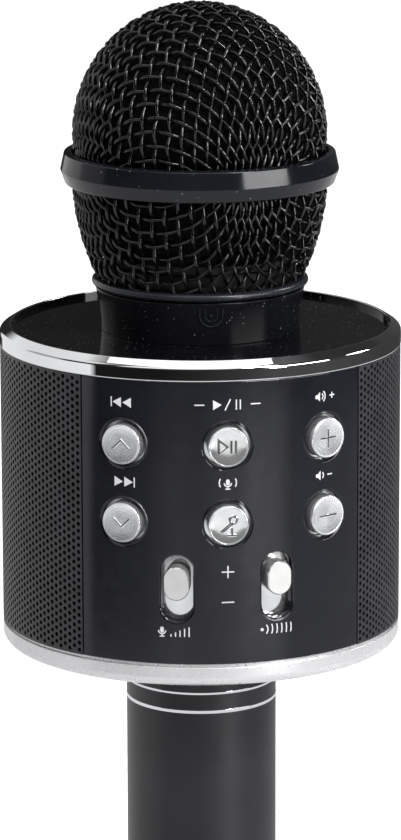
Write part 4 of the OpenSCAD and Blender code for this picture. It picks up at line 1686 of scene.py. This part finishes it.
            def lay(ring: np.ndarray, at: float = angle, z: float = height) -> np.ndarray:
                """Wraps a sign round the panel."""
                return wrapped(at + np.degrees(ring[:, 0] / skin), z + ring[:, 1], skin + ring[:, 2])

            sign = printed_sign(mark)
            for path in sign.lines:
                shape.ridge(finely(path, 0.4), self.line, self.sign_foot, self.sign_top, 0.9, lay)
            for outline in sign.fills:
                shape.slab(outline, self.sign_foot, self.sign_top, lay=lay)
        shape.make("panel_signs", PRINT, "sign_print", "housing")


def finely(path: Loop, step: float) -> Loop:
    """Adds points to a line.

    Args:
        path: The line's points.
        step: Largest distance between two points of the result.

    Returns:
        The same line with more points.
    """
    out = [path[0]]
    for a, b in zip(path, path[1:]):
        n = max(1, math.ceil(math.dist(a, b) / step))
        out += [(a[0] + (b[0] - a[0]) * k / n, a[1] + (b[1] - a[1]) * k / n) for k in range(1, n + 1)]
    return out


# Handle


@dataclass
class Handle:
    """The handle's tube and its silver rings."""

    wall: float = 1.2
    groove: float = 0.5
    ring_edge: float = 0.12

    def build(self) -> None:
        """Builds and dresses the handle's outside."""
        tube = Span.of("handle_tube")
        low_ring, high_ring = Span.of("lower_trim_ring"), Span.of("upper_trim_ring")
        radius = tube.radius
        inner, floor = radius - self.wall, radius - self.groove
        profile = rounded([
            (inner, tube.low, 0.1), (radius, tube.low, 0.15), (radius, low_ring.low, 0.06),
            (floor, low_ring.low, 0.0), (floor, low_ring.high, 0.0),
            (radius, low_ring.high, 0.06), (radius, high_ring.low, 0.06), (inner, high_ring.low, 0.1),
        ])
        Shape().lathe(profile, 160).make("grip_tube", ANODISED, "anodised", "housing", ["handle_tube"])
        for name, node, ring, back in (("trim_ring_low", "lower_trim_ring", low_ring, floor),
                                       ("trim_ring_high", "upper_trim_ring", high_ring, inner)):
            edge = rounded([(back, ring.low, 0.0), (ring.radius, ring.low, self.ring_edge),
                            (ring.radius, ring.high, self.ring_edge), (back, ring.high, 0.0)], 15)
            Shape().lathe(edge, 160).make(name, CHROME, "chrome", "housing", [node])


# Inside and underside, which keep their CAD shapes

INNER_FINISHES: dict[str, tuple[str, Finish]] = {
    "thread_ring": ("brass", BRASS),
    "mic_capsule": ("capsule_can", CAPSULE_CAN),
    "capsule_cradle": ("rubber", RUBBER),
    "capsule_lead": ("lead_red", LEAD_RED),
    "neck_nut": ("nickel", NICKEL),
    "speaker_box": ("frame_plastic", FRAME_PLASTIC),
    "base_plate": ("frame_plastic", FRAME_PLASTIC),
    "base_screws": ("screw_steel", SCREW_STEEL),
    "left_speaker_frame": ("basket_steel", BASKET),
    "left_speaker_magnet": ("magnet_steel", MAGNET),
    "left_speaker_cone": ("cone_paper", CONE_PAPER),
    "right_speaker_frame": ("basket_steel", BASKET),
    "right_speaker_magnet": ("magnet_steel", MAGNET),
    "right_speaker_cone": ("cone_paper", CONE_PAPER),
    "speaker_screws": ("screw_steel", SCREW_STEEL),
    "switch_carrier": ("frame_plastic", FRAME_PLASTIC),
    "flex_circuit": ("flex_amber", FLEX),
    "key_switches": ("switch_body", SWITCH),
    "slide_controls": ("switch_body", SWITCH),
    "main_board": ("board_green", BOARD),
    "handle_collar": ("handle_gloss", HANDLE_GLOSS),
    "handle_nut": ("nickel", NICKEL),
    "battery_tray": ("frame_plastic", FRAME_PLASTIC),
    "battery_cell": ("cell_wrap", CELL_WRAP),
    "battery_contacts": ("contact_brass", CONTACT),
    "battery_lead": ("lead_red", LEAD_RED),
    "charge_board": ("board_green", BOARD),
    "usb_socket": ("socket_steel", SOCKET_STEEL),
    "headphone_socket": ("switch_body", SWITCH),
    "power_switch": ("switch_body", SWITCH),
    "power_key": ("key_mirror", KEY_MIRROR),
    "status_light": ("light_pipe", LIGHT_PIPE),
    "end_cap": ("frame_plastic", FRAME_PLASTIC),
    "end_cap_screws": ("screw_steel", SCREW_STEEL),
}


@dataclass
class Works:
    """The CAD nodes whose own shapes show or lie inside."""

    nodes: dict[str, bpy.types.Object]

    def dress(self) -> None:
        """Gives each node its finish."""
        for name, (look, finish) in INNER_FINISHES.items():
            node = self.nodes[name]
            node.data.materials.clear()
            node.data.materials.append(finish.material(look))
            node.data.shade_smooth()
            node.data.set_sharp_from_angle(angle=math.radians(30))
            LOG.info("%s: %s", name, look)


# Studio

FLOOR_STEPS = 96
WALLS: Sequence[Pair] = (
    (-180, 0.02), (-168, 0.02), (-163, 0.85), (-73, 0.92), (-69, 0.01), (-30, 0.01), (-8, 0.02), (15, 0.04),
    (38, 0.075), (85, 0.065), (120, 0.045), (150, 0.05), (165, 0.08), (173, 0.03), (180, 0.02),
)
ROOF: Sequence[Pair] = (
    (-180, 0.02), (-168, 0.02), (-163, 0.85), (-77, 0.85), (-72, 0.03), (-61, 0.03), (-57, 1.1), (18, 1.1),
    (30, 0.04), (180, 0.03),
)
UPPER: Sequence[Pair] = (
    (-180, 0.02), (-168, 0.02), (-163, 0.85), (-127, 0.9), (-122, 0.42), (-97, 0.36), (-91, 0.015),
    (60, 0.05), (150, 0.05), (165, 0.08), (173, 0.03), (180, 0.02),
)
TABLE: Sequence[Pair] = (
    (-180, 0.8), (-76, 0.8), (-71, 0.12), (-50, 0.2), (-38, 0.3), (-28, 0.55), (-20, 0.66), (-8, 0.55),
    (12, 0.95), (22, 1.5), (36, 1.3), (46, 0.5), (90, 0.45), (140, 0.6), (180, 0.8),
)
TINT: Colour = (1.0, 1.0, 1.02)


@dataclass(frozen=True)
class Softbox:
    """A soft light that faces the drum.

    Attributes:
        name: Its name.
        azimuth: Its angle from the front.
        elevation: Its angle above the drum.
        width: Its width in metres.
        height: Its height in metres.
        radiance: How bright its face is.
        reach: Its distance in metres.
    """

    name: str
    azimuth: float
    elevation: float
    width: float
    height: float
    radiance: float
    reach: float = 1.6

    def hang(self, aim: float) -> None:
        """Hangs it in the scene.

        Args:
            aim: Height of the point that it faces, in metres.
        """
        data = bpy.data.lights.new(self.name, "AREA")
        data.shape, data.size, data.size_y = "RECTANGLE", self.width, self.height
        data.energy = self.radiance * math.pi * self.width * self.height
        lamp = in_scene(self.name, data)
        a, e = math.radians(self.azimuth), math.radians(self.elevation)
        out = Vector((math.sin(a) * math.cos(e), -math.cos(a) * math.cos(e), math.sin(e)))
        middle = Vector((0, 0, aim))
        lamp.location = middle + self.reach * out
        lamp.rotation_mode = "QUATERNION"
        lamp.rotation_quaternion = (middle - lamp.location).to_track_quat("-Z", "Y")
        lamp.visible_camera = False
        LOG.info("%s: %.2f m away", self.name, self.reach)


SOFTBOXES = (
    Softbox("top_light", 0.0, 84.0, 1.4, 2.4, 1.35, reach=2.0),
    Softbox("front_softbox", 50.0, 18.0, 1.16, 0.42, 8.5),
    Softbox("wire_light", 32.0, 40.0, 0.5, 0.3, 36.0),
    Softbox("low_strip", 36.0, -3.0, 0.28, 0.25, 25.0),
    Softbox("side_light", 105.0, 30.0, 0.35, 0.35, 15.0),
)


@dataclass
class Studio:
    """The floor, the lights and the camera."""

    azimuth: float = -7.5
    distance: float = 0.883
    eye: float = 0.3585
    dip: float = 12.75
    lens: float = 189.1
    sensor: float = 36.0
    clip: Pair = (0.05, 60.0)
    roll: float = -0.17
    floor_radius: float = 14.0
    aim: float = 0.17
    glare: float = 1.6
    floor_grey: float = 0.8
    sky_grey: float = 0.12
    floor_edge: Pair = (-15.6, -16.0)
    table_edge: Pair = (-12.75, -12.35)
    upper_edge: Pair = (-4.0, 4.0)
    roof_edge: Pair = (25.0, 31.0)
    sky_edge: Pair = (54.0, 62.0)
    glow: float = 2.4
    glow_spread: float = 50.0
    glow_lean: Pair = (22.0, 8.0)

    def place_camera(self) -> None:
        """Makes the camera and sets it as the scene's."""
        data = bpy.data.cameras.new("camera")
        camera = in_scene("camera", data)
        data.lens, data.sensor_width = self.lens, self.sensor
        data.clip_start, data.clip_end = self.clip
        a, e = math.radians(self.azimuth), math.radians(self.dip)
        camera.location = (math.sin(a) * self.distance, -math.cos(a) * self.distance, self.eye)
        ahead = Vector((-math.sin(a) * math.cos(e), math.cos(a) * math.cos(e), -math.sin(e)))
        camera.rotation_mode = "QUATERNION"
        tilt = Matrix.Rotation(math.radians(self.roll), 4, "Z").to_quaternion()
        camera.rotation_quaternion = ahead.to_track_quat("-Z", "Y") @ tilt
        bpy.context.scene.camera = camera
        LOG.info("camera %.3f m from the axis", self.distance)

    def build(self) -> None:
        """Builds the floor, the surroundings and the lights."""
        self.build_floor()
        self.build_surroundings()
        for softbox in SOFTBOXES:
            softbox.hang(self.aim)
        self.build_glow()
        bpy.context.scene.view_settings.view_transform = "Standard"

    def build_floor(self) -> None:
        """Lays the plain pale floor."""
        turns = np.arange(FLOOR_STEPS) * 360 / FLOOR_STEPS
        reaches = (0.0, 0.3, 1.0, 3.0, self.floor_radius)
        mesh = Shape().bridge([wrapped(turns, np.zeros(FLOOR_STEPS), r / MM) for r in reaches]).mesh("floor")
        mesh.materials.append(FLOOR_PAPER.material("floor_paper"))
        floor = in_scene("floor", mesh)
        floor.visible_glossy = False
        LOG.info("floor: %d faces", len(mesh.polygons))

    def build_surroundings(self) -> None:
        """Sets the soft bright and dark walls that the gloss reflects."""
        world = bpy.data.worlds.new("studio")
        bpy.context.scene.world = world
        world.use_nodes = True
        graph = Graph(world.node_tree)
        way = graph.node("SeparateXYZ", {0: graph.node("TexCoord").outputs["Generated"]}).outputs
        flip = graph.node("Math", {0: way["Y"], 1: -1}, operation="MULTIPLY").outputs[0]
        bearing = graph.node("Math", {0: way["X"], 1: flip}, operation="ARCTAN2").outputs[0]
        share = graph.moved(bearing, (-math.pi, math.pi))

        def around(stops: Sequence[Pair]) -> Socket:
            """A grey that follows the bearing, from pairs of bearing and value."""
            return graph.ramp(share, [((at + 180) / 360, (value / self.glare,) * 3) for at, value in stops])

        def above(edge: Pair) -> Socket:
            """A share that goes from 0 to 1 between two elevations."""
            return graph.moved(way["Z"], tuple(math.sin(math.radians(at)) for at in edge))

        floor_grey, sky_grey = (
            (*(grey * v / self.glare for v in TINT), 1) for grey in (self.floor_grey, self.sky_grey)
        )
        room = around(TABLE)
        for edge, colour in (
            (self.table_edge, around(WALLS)), (self.upper_edge, around(UPPER)),
            (self.roof_edge, around(ROOF)), (self.sky_edge, sky_grey), (self.floor_edge, floor_grey),
        ):
            room = graph.mixed(above(edge), room, colour)
        graph.feed(world.node_tree.nodes["Background"], {"Color": room, "Strength": self.glare})
        LOG.info("surroundings of strength %.1f", self.glare)

    def build_glow(self) -> None:
        """Sets the broad light from above."""
        data = bpy.data.lights.new("sky_glow", "SUN")
        data.energy, data.angle = self.glow, math.radians(self.glow_spread)
        glow = in_scene("sky_glow", data)
        glow.rotation_euler = (*(math.radians(lean) for lean in self.glow_lean), 0)
        glow.visible_glossy = False


def main() -> None:
    """Builds the microphone round its frame."""
    logging.basicConfig(level=logging.INFO, format="%(name)s %(message)s")
    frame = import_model()
    studio = Studio()
    studio.place_camera()
    WireBall().build()
    Drum().build()
    KeyPanel().build()
    Handle().build()
    Works(frame["nodes"]).dress()
    studio.build()


if __name__ == "__main__":
    main()
